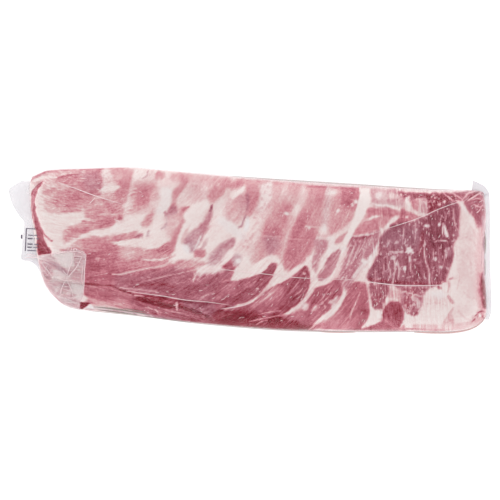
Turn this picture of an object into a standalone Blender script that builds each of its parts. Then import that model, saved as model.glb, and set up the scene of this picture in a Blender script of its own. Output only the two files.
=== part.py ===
"""A raw rack of St. Louis-style pork spare ribs, sealed in a clear shrink bag.

The bag is shrunk onto the meat, so bag and rack are one closed form: a long, low slab with the meat side up.
Four edge curves give its plan, a crown and a rounded shoulder give its height, and the muscles, the fold along
the front edge, the cut left end and the doubled film over one corner are relief on top. The ribs press shallow
channels into the base. The seams of the bag stand out as thin flaps at the ends.

Metres, +Z up, +X along the rack towards its broad end, +Y towards the straight edge. The origin is at the middle
of the bounding box, on the surface that the pack lies on.
"""

import bmesh
import bpy
import numpy as np

# Driving dimensions of the slab
CROWN_MEAN = 0.0320  # height of the crown, halfway along
CROWN_SWING = 0.0035  # how much higher the broad end is, and how much lower the narrow end
CROWN_PERIOD = 0.400
CROWN_MIDDLE_X = 0.020
CROWN_RIDGE_Y = -0.006  # the crown's highest line runs a little in front of the middle
CROWN_FALL = 0.0050  # how far the crown falls towards the long edges
HALF_LENGTH = 0.205
HALF_WIDTH = 0.066
RIM_HEIGHT = 0.0125  # height of the widest outline above the table
SHOULDER = 0.017  # width of the rounded shoulder, seen from above
BASE_INSET = 0.0080  # how far the flat base lies inside the widest outline

# The widest outline, as four edges that share their corners
BACK_EDGE = [
    (-0.1985, 0.0575), (-0.1900, 0.0620), (-0.1800, 0.0650), (-0.1400, 0.0682), (-0.1120, 0.0701),
    (-0.0750, 0.0686), (0.0000, 0.0652), (0.0900, 0.0630), (0.1650, 0.0616), (0.2010, 0.0626), (0.2080, 0.0595),
]
FRONT_EDGE = [
    (-0.1780, -0.0450), (-0.1700, -0.0530), (-0.1600, -0.0582), (-0.1450, -0.0606), (-0.1200, -0.0620),
    (-0.0900, -0.0640), (-0.0400, -0.0680), (0.0300, -0.0707), (0.0900, -0.0697), (0.1450, -0.0674),
    (0.1820, -0.0662), (0.2020, -0.0622), (0.2120, -0.0555),
]
LEFT_EDGE = [
    (-0.1780, -0.0450), (-0.1840, -0.0360), (-0.1910, -0.0150), (-0.1970, 0.0180), (-0.2000, 0.0400),
    (-0.2005, 0.0500), (-0.1985, 0.0575),
]
RIGHT_EDGE = [
    (0.2120, -0.0555), (0.2145, -0.0480), (0.2145, -0.0380), (0.2110, 0.0000), (0.2105, 0.0400), (0.2080, 0.0595),
]

# Relief of the meat side
LOBE_CENTRE = (-0.155, 0.132)  # the muscle between the ribs runs in arcs round this point
LOBE_PITCH = 0.028
LOBE_PHASE = 0.226  # radius of the arc through the middle of one muscle
LOBE_HEIGHT = 0.0011
BROAD_MUSCLE_X = 0.112  # from here on one broad muscle lies over the ribs
BROAD_LOBE_SHARE = 0.35  # how much of the lobes still shows through it
FOLD = [(-0.1470, -0.0360), (-0.1150, -0.0405), (-0.0850, -0.0485), (-0.0550, -0.0560), (-0.0280, -0.0655)]
FOLD_DROP = 0.0042  # the lower lobe of meat lies this much below the top
CUT_END = [(-0.1860, 0.0560), (-0.1945, 0.0420), (-0.1940, 0.0280), (-0.1885, 0.0120), (-0.1810, 0.0000), (-0.1760, -0.0120)]
CUT_DROP = 0.0040
STEP_WIDTH = 0.0050  # both steps ease over this width
CORNER_FILM_X = -0.1460  # right edge of the doubled film over the corner
CORNER_FILM_Y = -0.0090  # its back edge
CORNER_FILM_RISE = 0.0009

# Relief of the bone side
RIB_PITCH = 0.033
RIB_SLANT = 0.27  # how far a rib shifts along X for each metre of Y
RIB_CHANNEL = 0.0013  # depth of the channels between the ribs
RIB_FLAT_SHARE = 0.40  # share of the wave that is pressed flat on the table
REST_SPOT = 0.018  # radius of the spot under the middle that is flat throughout

# Flaps of film: the real film is far thinner than this
FLAP_THICKNESS = 0.0011
FLAP_ROOT = 0.010  # how far a flap reaches into the slab

CELLS_LONG = 80
CELLS_WIDE = 26
CELLS_HIGH = 4
RIM_CROWDING = 0.30  # 0 spaces the cells evenly, 0.5 crowds them fully to the rim
CURVE_SAMPLES = 120


def clear_scene():
    for obj in list(bpy.data.objects):
        bpy.data.objects.remove(obj, do_unlink=True)


def new_collection(name):
    collection = bpy.data.collections.new(name)
    bpy.context.scene.collection.children.link(collection)
    return collection


def smooth_curve(points, samples=CURVE_SAMPLES):
    """A Catmull-Rom curve through the points, sampled evenly along its length."""
    p = np.array(points, float)
    p = np.vstack([2 * p[0] - p[1], p, 2 * p[-1] - p[-2]])
    t = np.linspace(0, 1, 12, endpoint=False)[:, None]
    pieces = []
    for a, b, c, d in zip(p[:-3], p[1:-2], p[2:-1], p[3:]):
        pieces.append(
            0.5 * (2 * b + (c - a) * t + (2 * a - 5 * b + 4 * c - d) * t**2 + (3 * b - a - 3 * c + d) * t**3)
        )
    fine = np.vstack([*pieces, p[-2:-1]])
    run = np.concatenate([[0], np.cumsum(np.linalg.norm(np.diff(fine, axis=0), axis=1))])
    at = np.linspace(0, run[-1], samples)
    return np.column_stack([np.interp(at, run, fine[:, k]) for k in (0, 1)])


BACK, FRONT, LEFT, RIGHT = (smooth_curve(edge) for edge in (BACK_EDGE, FRONT_EDGE, LEFT_EDGE, RIGHT_EDGE))
OUTLINE = np.vstack([FRONT, RIGHT[1:], BACK[-2::-1], LEFT[-2:0:-1]])


def along(curve, t):
    """Points of a sampled curve at t, from 0 at its start to 1 at its end."""
    at = np.linspace(0, 1, len(curve))
    return np.column_stack([np.interp(t, at, curve[:, k]) for k in (0, 1)])


def plan(u, v):
    """The plan point at (u, v), each from -1 to 1: a Coons patch between the four edges."""
    s, t = (u + 1) / 2, (v + 1) / 2
    front, back, left, right = along(FRONT, s), along(BACK, s), along(LEFT, t), along(RIGHT, t)
    s, t = s[:, None], t[:, None]
    corners = (1 - s) * (1 - t) * FRONT[0] + s * (1 - t) * FRONT[-1] + (1 - s) * t * BACK[0] + s * t * BACK[-1]
    return (1 - t) * front + t * back + (1 - s) * left + s * right - corners


def nearest(points, line, closed=False):
    """Distance from each point to a polyline, and the side it lies on: above 0 to the left of its direction."""
    start = line
    end = np.roll(line, -1, axis=0)
    if not closed:
        start, end = line[:-1], line[1:]
    run = end - start
    to_point = points[:, None, :] - start[None]
    share = np.clip((to_point * run).sum(2) / (run**2).sum(1), 0, 1)
    offset = to_point - share[:, :, None] * run
    distance = np.linalg.norm(offset, axis=2)
    pick = distance.argmin(1)
    rows = np.arange(len(points))
    cross = run[pick, 0] * to_point[rows, pick, 1] - run[pick, 1] * to_point[rows, pick, 0]
    return distance[rows, pick], cross


def ease(value):
    """A smooth step from 0 to 1."""
    t = np.clip(value, 0, 1)
    return t * t * (3 - 2 * t)


def lobes(xy):
    """Muscles as smooth waves across the arcs round LOBE_CENTRE, fading out towards the narrow end and over the
    broad muscle."""
    radius = np.hypot(xy[:, 0] - LOBE_CENTRE[0], xy[:, 1] - LOBE_CENTRE[1])
    wave = np.cos(2 * np.pi * (radius - LOBE_PHASE) / LOBE_PITCH)
    broad = BROAD_LOBE_SHARE + (1 - BROAD_LOBE_SHARE) * ease((BROAD_MUSCLE_X - xy[:, 0]) / 0.030 + 0.5)
    return LOBE_HEIGHT * wave * ease((xy[:, 0] + 0.150) / 0.080) * broad


def unevenness(xy):
    """A few long, low waves, so that no two stretches are alike."""
    x, y = xy.T
    return 0.0007 * (np.sin(31 * x + 19 * y + 0.6) + 0.7 * np.sin(47 * x - 58 * y + 2.1) + 0.5 * np.sin(88 * y - 23 * x))


def step_down(xy, line, drop):
    """Lowers what lies to the right of the line's direction, within its reach."""
    distance, side = nearest(xy, smooth_curve(line))
    signed = np.where(side < 0, distance, -distance)
    return drop * ease(signed / STEP_WIDTH + 0.5)


def top_height(xy):
    """Height of the meat side before the shoulder rounds it off."""
    x, y = xy.T
    crown = CROWN_MEAN + CROWN_SWING * np.sin(2 * np.pi * (x - CROWN_MIDDLE_X) / (2 * CROWN_PERIOD))
    crown = crown - CROWN_FALL * (np.abs(y - CROWN_RIDGE_Y) / HALF_WIDTH) ** 2.5
    in_fold = ease((FOLD[-1][0] + 0.006 - x) / 0.020)
    fold = step_down(xy, FOLD, FOLD_DROP) * in_fold * (y < 0)
    cut = step_down(xy, CUT_END, CUT_DROP) * (x < -0.150) * ease((y + 0.022) / 0.012)
    film = ease((CORNER_FILM_X - x) / 0.003 + 0.5) * ease((CORNER_FILM_Y - y) / 0.003 + 0.5)
    return crown + lobes(xy) + unevenness(xy) - fold - cut + CORNER_FILM_RISE * film


def base_height(xy):
    """The bone side: strips flat on the table under the ribs, with shallow channels between them, and a flat spot
    under the middle."""
    wave = 0.5 - 0.5 * np.cos(2 * np.pi * (xy[:, 0] - RIB_SLANT * xy[:, 1]) / RIB_PITCH)
    channel = np.clip((wave - RIB_FLAT_SHARE) / (1 - RIB_FLAT_SHARE), 0, 1)
    inside, _ = nearest(xy, OUTLINE, closed=True)
    clear_of_spot = ease((np.hypot(xy[:, 0], xy[:, 1]) - REST_SPOT) / 0.010)
    return RIB_CHANNEL * channel * ease((inside - 2 * BASE_INSET) / 0.010) * clear_of_spot


def crowd(t):
    """Moves evenly spaced values from -1 to 1 closer to the ends, where the slab curves most."""
    return t * (1 + RIM_CROWDING) - RIM_CROWDING * t**3


def subdivided_cube():
    """A cube from -1 to 1, cut into cells along each axis."""
    bm = bmesh.new()
    bmesh.ops.create_cube(bm, size=2.0)
    for axis, cells in enumerate((CELLS_LONG, CELLS_WIDE, CELLS_HIGH)):
        edges = [e for e in bm.edges if abs(e.verts[0].co[axis] - e.verts[1].co[axis]) > 0.5]
        bmesh.ops.subdivide_edges(bm, edges=edges, cuts=cells - 1, use_grid_fill=True)
    return bm


def shaped_slab(cube):
    """Turns the cube's points (n rows of u, v, w) into the slab's points: lid, quarter-round sides and base."""
    u, v, w = cube.T
    turn = (1 - w) / 2 * np.pi / 2
    inset = BASE_INSET * (1 - np.cos(turn))
    xy = plan(crowd(u) * (1 - inset / HALF_LENGTH), crowd(v) * (1 - inset / HALF_WIDTH))
    z = RIM_HEIGHT * (1 - np.sin(turn))
    lid = w > 0.999
    inside, _ = nearest(xy[lid], OUTLINE, closed=True)
    rounding = np.sqrt(1 - (1 - np.clip(inside / SHOULDER, 0, 1)) ** 2)
    z[lid] = RIM_HEIGHT + (top_height(xy[lid]) - RIM_HEIGHT) * rounding
    base = w < -0.999
    z[base] = base_height(xy[base])
    return np.column_stack([xy, z])


def make_slab(collection):
    bm = subdivided_cube()
    cube = np.array([vert.co for vert in bm.verts])
    for vert, place in zip(bm.verts, shaped_slab(cube)):
        vert.co = place
    bmesh.ops.recalc_face_normals(bm, faces=bm.faces)
    return finished(bm, "rib_pack", collection)


def finished(bm, name, collection):
    """A new object with the bmesh's faces, shaded smooth."""
    mesh = bpy.data.meshes.new(name)
    bm.to_mesh(mesh)
    bm.free()
    obj = bpy.data.objects.new(name, mesh)
    collection.objects.link(obj)
    mesh.shade_smooth()
    return obj


def make_flap(name, collection, root, tip, drop, ripple):
    """A thin sheet of film from the root line, inside the slab, to the tip line. Its outer edge hangs lower by
    drop and waves by ripple."""
    bm = bmesh.new()
    cells_out, cells_along = 5, 22
    bmesh.ops.create_grid(bm, x_segments=cells_out, y_segments=cells_along, size=1.0)
    grid = np.array([vert.co for vert in bm.verts])
    out, run = (grid[:, 0] + 1) / 2, (grid[:, 1] + 1) / 2
    inner, outer = along(smooth_curve(root), run), along(smooth_curve(tip), run)
    xy = inner + (outer - inner) * out[:, None]
    hang = RIM_HEIGHT - drop * out**2 + ripple * out * np.sin(3.1 * np.pi * run + 0.8)
    for vert, place in zip(bm.verts, np.column_stack([xy, hang])):
        vert.co = place
    bmesh.ops.recalc_face_normals(bm, faces=bm.faces)
    flap = finished(bm, name, collection)
    shell = flap.modifiers.new("film", "SOLIDIFY")
    shell.thickness = FLAP_THICKNESS
    shell.offset = 0
    return flap


def make_flaps(collection):
    """The ear and the printed seam at the narrow end, the sealed edge and the small ear at the broad end."""
    left_tip = [
        (-0.1845, -0.0350), (-0.1880, -0.0275), (-0.1910, -0.0232), (-0.1965, -0.0198), (-0.2036, -0.0173),
        (-0.2038, -0.0080), (-0.2040, 0.0000), (-0.2025, 0.0100), (-0.2045, 0.0180),
        (-0.2105, 0.0280), (-0.2145, 0.0350), (-0.2175, 0.0410), (-0.2185, 0.0450), (-0.2130, 0.0490),
        (-0.2060, 0.0530),
    ]
    left_root = [(x + FLAP_ROOT, y) for x, y in LEFT_EDGE[1:-1]]
    make_flap("flap_left", collection, left_root, left_tip, drop=0.0060, ripple=0.0012)
    right_tip = [(0.2165, -0.0535), (0.2185, -0.0440), (0.2170, -0.0200), (0.2150, 0.0100), (0.2140, 0.0400), (0.2125, 0.0600)]
    right_root = [(x - FLAP_ROOT, y) for x, y in RIGHT_EDGE[1:]]
    make_flap("flap_right", collection, right_root, right_tip, drop=0.0020, ripple=0.0006)
    ear_tip = [(0.1975, 0.0705), (0.2030, 0.0685), (0.2085, 0.0655), (0.2125, 0.0600)]
    ear_root = [(0.1965, 0.0530), (0.1990, 0.0520), (0.2020, 0.0510), (0.2050, 0.0500)]
    make_flap("flap_ear", collection, ear_root, ear_tip, drop=0.0030, ripple=0.0004)


def join_flaps(slab, flaps):
    """One Boolean union makes the slab and its flaps one closed body."""
    union = slab.modifiers.new("flaps", "BOOLEAN")
    union.operation = "UNION"
    union.operand_type = "COLLECTION"
    union.collection = flaps
    union.solver = "MANIFOLD"
    bpy.context.view_layer.objects.active = slab
    bpy.ops.object.modifier_apply(modifier=union.name)
    for flap in list(flaps.objects):
        bpy.data.objects.remove(flap, do_unlink=True)
    bpy.data.collections.remove(flaps)


def rest_at_origin(obj):
    """Moves the mesh so that the middle of its bounding box stands over the origin and its base on the table."""
    points = np.array([vert.co for vert in obj.data.vertices])
    low, high = points.min(0), points.max(0)
    shift = [-(low[0] + high[0]) / 2, -(low[1] + high[1]) / 2, -low[2]]
    for vert, place in zip(obj.data.vertices, points + shift):
        vert.co = place


def pork_material():
    """Raw pork under clear film."""
    material = bpy.data.materials.new("pork_under_film")
    material.use_nodes = True
    shader = material.node_tree.nodes["Principled BSDF"]
    shader.inputs["Base Color"].default_value = (0.56, 0.29, 0.32, 1)
    shader.inputs["Roughness"].default_value = 0.25
    shader.inputs["Metallic"].default_value = 0
    return material


def main():
    clear_scene()
    slab = make_slab(new_collection("spare_ribs"))
    flaps = new_collection("flaps")
    make_flaps(flaps)
    join_flaps(slab, flaps)
    rest_at_origin(slab)
    slab.data.materials.append(pork_material())


main()
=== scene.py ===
# %% [markdown]
# A raw rack of pork spare ribs, sealed in a clear shrink bag and seen from straight above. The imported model
# gives one plain solid: the bag's outer form, with its flaps. This lesson takes that form apart again: a rack
# of meat inside, a thin skin of film over it, and loose film where the bag was sealed. All lengths below are
# in millimetres, and become metres only when a mesh is made.

# %% Load the frame
import math

import bpy
import numpy as np
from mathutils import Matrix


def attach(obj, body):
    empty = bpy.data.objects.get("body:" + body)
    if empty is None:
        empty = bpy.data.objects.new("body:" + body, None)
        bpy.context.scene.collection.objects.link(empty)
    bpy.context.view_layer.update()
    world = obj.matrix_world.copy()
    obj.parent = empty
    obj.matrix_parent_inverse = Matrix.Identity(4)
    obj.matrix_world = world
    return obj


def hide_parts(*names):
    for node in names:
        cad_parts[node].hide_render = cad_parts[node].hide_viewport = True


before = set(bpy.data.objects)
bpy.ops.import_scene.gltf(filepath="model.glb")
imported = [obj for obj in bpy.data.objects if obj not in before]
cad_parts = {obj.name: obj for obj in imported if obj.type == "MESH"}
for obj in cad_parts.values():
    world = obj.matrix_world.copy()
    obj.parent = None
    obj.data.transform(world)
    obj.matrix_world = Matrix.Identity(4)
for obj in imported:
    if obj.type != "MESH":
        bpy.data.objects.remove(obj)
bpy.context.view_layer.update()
METRES = 0.001

# %% [markdown]
# The camera comes first, because it fixes what has to be right. The photograph looks straight down, and the
# pack lies turned by a couple of degrees. A long lens far away keeps its top and its rim at one scale.

# %% Camera
PICTURE_WIDTH = 450.0  # millimetres that the picture takes in
CAMERA_HEIGHT = 5000.0
PACK_TURN = math.radians(2.4)

camera = bpy.data.objects.new("camera", bpy.data.cameras.new("camera"))
bpy.context.scene.collection.objects.link(camera)
camera.data.sensor_width = 36.0
camera.data.lens = 36.0 * CAMERA_HEIGHT / PICTURE_WIDTH
camera.data.clip_end = 50.0
camera.location = (0.0, 0.0, CAMERA_HEIGHT * METRES)
camera.rotation_euler = (0.0, 0.0, PACK_TURN)
bpy.context.scene.camera = camera
print("camera: lens", camera.data.lens, "mm")

# %% [markdown]
# The photograph is on pure white. A pale floor that glows a little, a white sky and two large soft lamps give
# that. The sky is dark overhead and towards the front, as under a studio ceiling: film that lies flat mirrors
# that dark part and looks clear, and film that a fold tilts mirrors the bright sides and shows as a glint.

# %% Floor, sky and lamps
def soft_lamp(name, place, size, power):
    """A square area lamp of that side, aimed at the middle of the pack."""
    lamp = bpy.data.objects.new(name, bpy.data.lights.new(name, "AREA"))
    bpy.context.scene.collection.objects.link(lamp)
    lamp.data.size, lamp.data.energy = size, power
    lamp.location = place
    aim = -np.array(place) / np.linalg.norm(place)
    lamp.rotation_euler = (math.acos(-aim[2]), 0.0, math.atan2(aim[0], -aim[1]))
    return lamp


SKY_SIDES, SKY_DARK, FLOOR_GLOW = 1.45, 0.65, 0.80
DARK_WAY = (0.0, -0.10, 0.995)  # towards the middle of the sky's dark part
DARK_INSIDE, DARK_OUTSIDE = 28, 62  # it fades between these angles from that way, in degrees
FLOOR_REACH, FLOOR_HEIGHT = 4, -0.0003  # metres
world = bpy.data.worlds.new("sky")
bpy.context.scene.world = world
world.use_nodes = True
sky = world.node_tree
towards = sky.nodes.new("ShaderNodeVectorMath")
towards.operation = "DOT_PRODUCT"
sky.links.new(sky.nodes.new("ShaderNodeTexCoord").outputs["Generated"], towards.inputs[0])
towards.inputs[1].default_value = DARK_WAY
fade = sky.nodes.new("ShaderNodeMapRange")
fade.interpolation_type = "SMOOTHSTEP"
sky.links.new(towards.outputs["Value"], fade.inputs["Value"])
fade.inputs["From Min"].default_value = math.cos(math.radians(DARK_OUTSIDE))
fade.inputs["From Max"].default_value = math.cos(math.radians(DARK_INSIDE))
fade.inputs["To Min"].default_value = SKY_SIDES
fade.inputs["To Max"].default_value = SKY_DARK
sky.links.new(fade.outputs["Result"], sky.nodes["Background"].inputs["Strength"])
sky.nodes["Background"].inputs["Color"].default_value = (1.0, 1.0, 1.0, 1.0)
soft_lamp("key_lamp", (-0.7, 1.4, 1.4), 0.9, 3.0)
soft_lamp("fill_lamp", (1.3, -0.9, 1.4), 1.2, 3.0)

floor_mesh = bpy.data.meshes.new("floor")
signs = ((-1, -1), (1, -1), (1, 1), (-1, 1))
floor_corners = [(x * FLOOR_REACH, y * FLOOR_REACH, FLOOR_HEIGHT) for x, y in signs]
floor_mesh.from_pydata(floor_corners, [], [(0, 1, 2, 3)])
floor = bpy.data.objects.new("floor", floor_mesh)
bpy.context.scene.collection.objects.link(floor)
paper = bpy.data.materials.new("white_paper")
paper.use_nodes = True
paper_shader = paper.node_tree.nodes["Principled BSDF"]
paper_shader.inputs["Base Color"].default_value = (0.35, 0.35, 0.35, 1.0)
paper_shader.inputs["Roughness"].default_value = 0.9
paper_shader.inputs["Emission Color"].default_value = (1.0, 1.0, 1.0, 1.0)
paper_shader.inputs["Emission Strength"].default_value = FLOOR_GLOW
floor_mesh.materials.append(paper)
bpy.context.scene.view_settings.view_transform = "Standard"

# %% [markdown]
# Everything on this pack follows drawn curves: edges, muscles, seams of fat, folds. So the first tools draw a
# smooth curve through a few points, and measure how far any point of a grid is from it. A butcher's cut-out
# template works in the same way: a few marks, joined by a fair line.

# %% Curves and distances
def catmull(before, start, end, after, t):
    """Catmull-Rom: the cubic from start to end. Its slopes are (end - before) / 2 and (after - start) / 2."""
    return 0.5 * (
        2 * start
        + (end - before) * t
        + (2 * before - 5 * start + 4 * end - after) * t**2
        + (3 * start - before - 3 * end + after) * t**3
    )


def line_through(points, count=40, fine_steps=14):
    """An open smooth curve through the points, as count points at even steps of its length."""
    p = np.array(points, float)
    p = np.vstack([2 * p[0] - p[1], p, 2 * p[-1] - p[-2]])
    t = np.linspace(0, 1, fine_steps, endpoint=False)[:, None]
    fine = np.vstack([catmull(*four, t) for four in zip(p[:-3], p[1:-2], p[2:-1], p[3:])] + [p[-2:-1]])
    run = np.concatenate([[0], np.cumsum(np.linalg.norm(np.diff(fine, axis=0), axis=1))])
    at = np.linspace(0, run[-1], count)
    return np.column_stack([np.interp(at, run, fine[:, k]) for k in range(p.shape[1])])


def loop_through(points, steps=6):
    """A closed smooth curve through the points, with that many steps from each point to the next."""
    p = np.array(points, float)
    t = np.linspace(0, 1, steps, endpoint=False)[:, None]
    fours = zip(np.roll(p, 1, axis=0), p, np.roll(p, -1, axis=0), np.roll(p, -2, axis=0))
    return np.vstack([catmull(*four, t) for four in fours])


def along(curve, t):
    """Points of a sampled curve at t, from 0 at its start to 1 at its end."""
    at = np.linspace(0, 1, len(curve))
    return np.stack([np.interp(t, at, curve[:, k]) for k in (0, 1)], axis=-1)


def distance_to(line, x, y):
    """Distance from each point to a polyline, how far along it (0 to 1) the nearest place is, and the side:
    above 0 on the left of its direction. Each stretch is tried in turn, and the nearest is kept."""
    best = np.full(x.shape, 1e9)
    share, side = np.zeros(x.shape), np.zeros(x.shape)
    for k, ((ax, ay), (bx, by)) in enumerate(zip(line[:-1], line[1:])):
        dx, dy = bx - ax, by - ay
        t = np.clip(((x - ax) * dx + (y - ay) * dy) / (dx * dx + dy * dy + 1e-12), 0, 1)
        d = np.hypot(x - ax - t * dx, y - ay - t * dy)
        nearer = d < best
        best = np.where(nearer, d, best)
        share = np.where(nearer, (k + t) / (len(line) - 1), share)
        side = np.where(nearer, dx * (y - ay) - dy * (x - ax), side)
    return best, share, side


def depth_inside(loop, x, y):
    """Distance from each point to a closed loop, above 0 inside it. A point is inside if a line from it to
    the right crosses the loop an odd number of times."""
    closed = np.vstack([loop, loop[:1]])
    inside = np.zeros(x.shape, bool)
    for (ax, ay), (bx, by) in zip(closed[:-1], closed[1:]):
        crosses = (ay > y) != (by > y)
        inside ^= crosses & (x < ax + (y - ay) * (bx - ax) / (by - ay + 1e-12))
    return np.where(inside, 1, -1) * distance_to(closed, x, y)[0]


def ease(value):
    """A smooth step: 0 below 0, 1 above 1, and 3 t^2 - 2 t^3 between."""
    t = np.clip(value, 0, 1)
    return t * t * (3 - 2 * t)


LATTICE = 64  # the noise repeats after so many steps


def noise(x, y, seed):
    """Smooth noise from -1 to 1: random heights on a lattice of whole numbers, eased between its corners."""
    lattice = np.random.default_rng(seed).uniform(-1, 1, (LATTICE, LATTICE))
    i, j = np.floor(x).astype(int), np.floor(y).astype(int)
    s, t = ease(x - i), ease(y - j)
    i, j, after_i, after_j = i % LATTICE, j % LATTICE, (i + 1) % LATTICE, (j + 1) % LATTICE
    low = lattice[i, j] * (1 - s) + lattice[after_i, j] * s
    high = lattice[i, after_j] * (1 - s) + lattice[after_i, after_j] * s
    return low * (1 - t) + high * t


test_loop = loop_through([(-9, 0), (0, 9), (9, 0), (0, -9)])
print("the middle of a test loop is", depth_inside(test_loop, *np.zeros((2, 1))), "mm deep")

# %% [markdown]
# The slab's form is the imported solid's: four edge curves seen from above, a crowned top, a rounded shoulder,
# and quarter-round sides that turn in to a flat base. The rib lobes, the fold along the front edge and the
# cut narrow end are relief on top. Writing it as a formula lets each layer be made again a little smaller.

# %% Edges of the slab
BACK_EDGE = line_through([
    (-198.5, 57.5), (-190, 62), (-180, 65), (-140, 68.2), (-112, 70.1), (-75, 68.6), (0, 65.2), (90, 63),
    (165, 61.6), (201, 62.6), (208, 59.5)], 160)
FRONT_EDGE = line_through([
    (-178, -45), (-170, -53), (-160, -58.2), (-145, -60.6), (-120, -62), (-90, -64), (-40, -68), (30, -70.7),
    (90, -69.7), (145, -67.4), (182, -66.2), (202, -62.2), (212, -55.5)], 160)
LEFT_EDGE = line_through([
    (-178, -45), (-184, -36), (-191, -15), (-197, 18), (-200, 40), (-200.5, 50), (-198.5, 57.5)], 80)
RIGHT_EDGE = line_through([
    (212, -55.5), (214.5, -48), (214.5, -38), (211, 0), (210.5, 40), (208, 59.5)], 80)
OUTLINE_BACK = [tuple(p) for p in BACK_EDGE[70:152:6] - (0, 0.3)]
OUTLINE_FRONT = [tuple(p) for p in FRONT_EDGE[16:150:6] + (0, 0.3)]
OUTLINE = np.vstack([FRONT_EDGE, RIGHT_EDGE[1:], BACK_EDGE[-2::-1], LEFT_EDGE[-2:0:-1]])
HALF_LENGTH, HALF_WIDTH = 205.0, 66.0
print("outline: from", OUTLINE.min(0), "to", OUTLINE.max(0), "mm")


def plan(u, v):
    """The place seen from above at (u, v), each from -1 to 1. A Coons patch: the blend of front and back
    edge, plus the blend of left and right edge, less the blend of the four corners."""
    s, t = (u + 1) / 2, (v + 1) / 2
    front, back = along(FRONT_EDGE, s), along(BACK_EDGE, s)
    left, right = along(LEFT_EDGE, t), along(RIGHT_EDGE, t)
    s, t = s[..., None], t[..., None]
    corners = (
        (1 - s) * (1 - t) * FRONT_EDGE[0] + s * (1 - t) * FRONT_EDGE[-1]
        + (1 - s) * t * BACK_EDGE[0] + s * t * BACK_EDGE[-1]
    )
    return (1 - t) * front + t * back + (1 - s) * left + s * right - corners


# %% Height of the slab
CROWN_MEAN, CROWN_SWING, CROWN_FALL = 32.0, 3.5, 5.0
CROWN_WAVE, CROWN_MIDDLE_X, CROWN_RIDGE_Y = 800.0, 20.0, -6.0
RIM_HEIGHT, SHOULDER, BASE_INSET = 12.5, 17.0, 8.0
FAN_CENTRE = (-155.0, 132.0)  # the muscle fibres run in arcs round this point
FAN_RADIUS = 200.0  # lengths of arc are taken at this radius
LOBE_PITCH, LOBE_HEIGHT, LOBE_PHASE = 28.0, 1.1, 226.0
BROAD_MUSCLE_X, BROAD_LOBE_SHARE = 112.0, 0.35  # past this x one muscle lies over the lobes
UNEVEN_HEIGHT = 0.7
FOLD = line_through([(-147, -36), (-115, -40.5), (-85, -48.5), (-55, -56), (-28, -65.5)])
CUT_END = line_through([(-186, 56), (-194.5, 42), (-194, 28), (-188.5, 12), (-181, 0), (-176, -12)])
FOLD_DROP, CUT_DROP, CORNER_FILM_LIFT = 4.2, 4.0, 0.9
CORNER_FILM_X, CORNER_FILM_Y = -146.0, -9.0
RIB_PITCH, RIB_SLANT, RIB_CHANNEL = 33.0, 0.27, 1.3
FLAT_MIDDLE = 18.0  # the base has no channel so near to its middle


def fan(x, y):
    """Fibre coordinates: the distance from the fan's centre, and the length of arc round it."""
    dx, dy = x - FAN_CENTRE[0], FAN_CENTRE[1] - y
    return np.hypot(dx, dy), FAN_RADIUS * np.arctan2(dx, dy)


def step_down(x, y, line, drop, width=5.0):
    """How far the surface lies lower on the right of the line's direction: drop, eased over width."""
    distance, _, side = distance_to(line, x, y)
    return drop * ease(np.where(side < 0, distance, -distance) / width + 0.5)


def crown(x, y):
    """Height of the meat side before the shoulder: a long swell that falls towards the long edges, less the
    fold's step and the cut end's, plus waves across the fan for the muscles between the ribs."""
    swell = CROWN_MEAN + CROWN_SWING * np.sin(2 * np.pi * (x - CROWN_MIDDLE_X) / CROWN_WAVE)
    swell = swell - CROWN_FALL * (np.abs(y - CROWN_RIDGE_Y) / HALF_WIDTH) ** 2.5
    across, _ = fan(x, y)
    broad = BROAD_LOBE_SHARE + (1 - BROAD_LOBE_SHARE) * ease((BROAD_MUSCLE_X - x) / 30 + 0.5)
    wave = np.cos(2 * np.pi * (across - LOBE_PHASE) / LOBE_PITCH)
    lobes = LOBE_HEIGHT * wave * ease((x + 150) / 80) * broad
    uneven = UNEVEN_HEIGHT * (
        np.sin(0.031 * x + 0.019 * y + 0.6)
        + 0.7 * np.sin(0.047 * x - 0.058 * y + 2.1)
        + 0.5 * np.sin(0.088 * y - 0.023 * x)
    )
    fold = step_down(x, y, FOLD, FOLD_DROP) * ease((-22 - x) / 20) * (y < 0)
    cut = step_down(x, y, CUT_END, CUT_DROP) * (x < -150) * ease((y + 22) / 12)
    doubled = ease((CORNER_FILM_X - x) / 3 + 0.5) * ease((CORNER_FILM_Y - y) / 3 + 0.5)
    return swell + lobes + uneven - fold - cut + CORNER_FILM_LIFT * doubled


def top_of_pack(x, y):
    """Height of the film's upper side: from the rim, a quarter-round shoulder up to the crown."""
    inside = np.maximum(depth_inside(OUTLINE[::3], x, y), 0)
    shoulder = np.sqrt(1 - (1 - np.clip(inside / SHOULDER, 0, 1)) ** 2)
    return RIM_HEIGHT + (crown(x, y) - RIM_HEIGHT) * shoulder


def underside(x, y):
    """The bone side: strips under the ribs lie on the table, and between them a cosine wave of one rib pitch,
    cut off below 0.4, gives shallow channels. They fade out towards the rim and the middle."""
    wave = 0.5 - 0.5 * np.cos(2 * np.pi * (x - RIB_SLANT * y) / RIB_PITCH)
    inside = depth_inside(OUTLINE[::3], x, y)
    clear = ease((inside - 2 * BASE_INSET) / 10) * ease((np.hypot(x, y) - FLAT_MIDDLE) / 10)
    return RIB_CHANNEL * np.clip((wave - 0.4) / 0.6, 0, 1) * clear


crown_heights = crown(np.array([-150.0, 0.0, 170.0]), np.zeros(3))
print("crown at the narrow end, middle and broad end:", crown_heights.round(1), "mm")

# %% [markdown]
# A closed slab on a grid is a lid, a base, and rings of points between their borders. All three are laid out
# as arrays, and share their border points, so the mesh has no seam to close.

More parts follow.
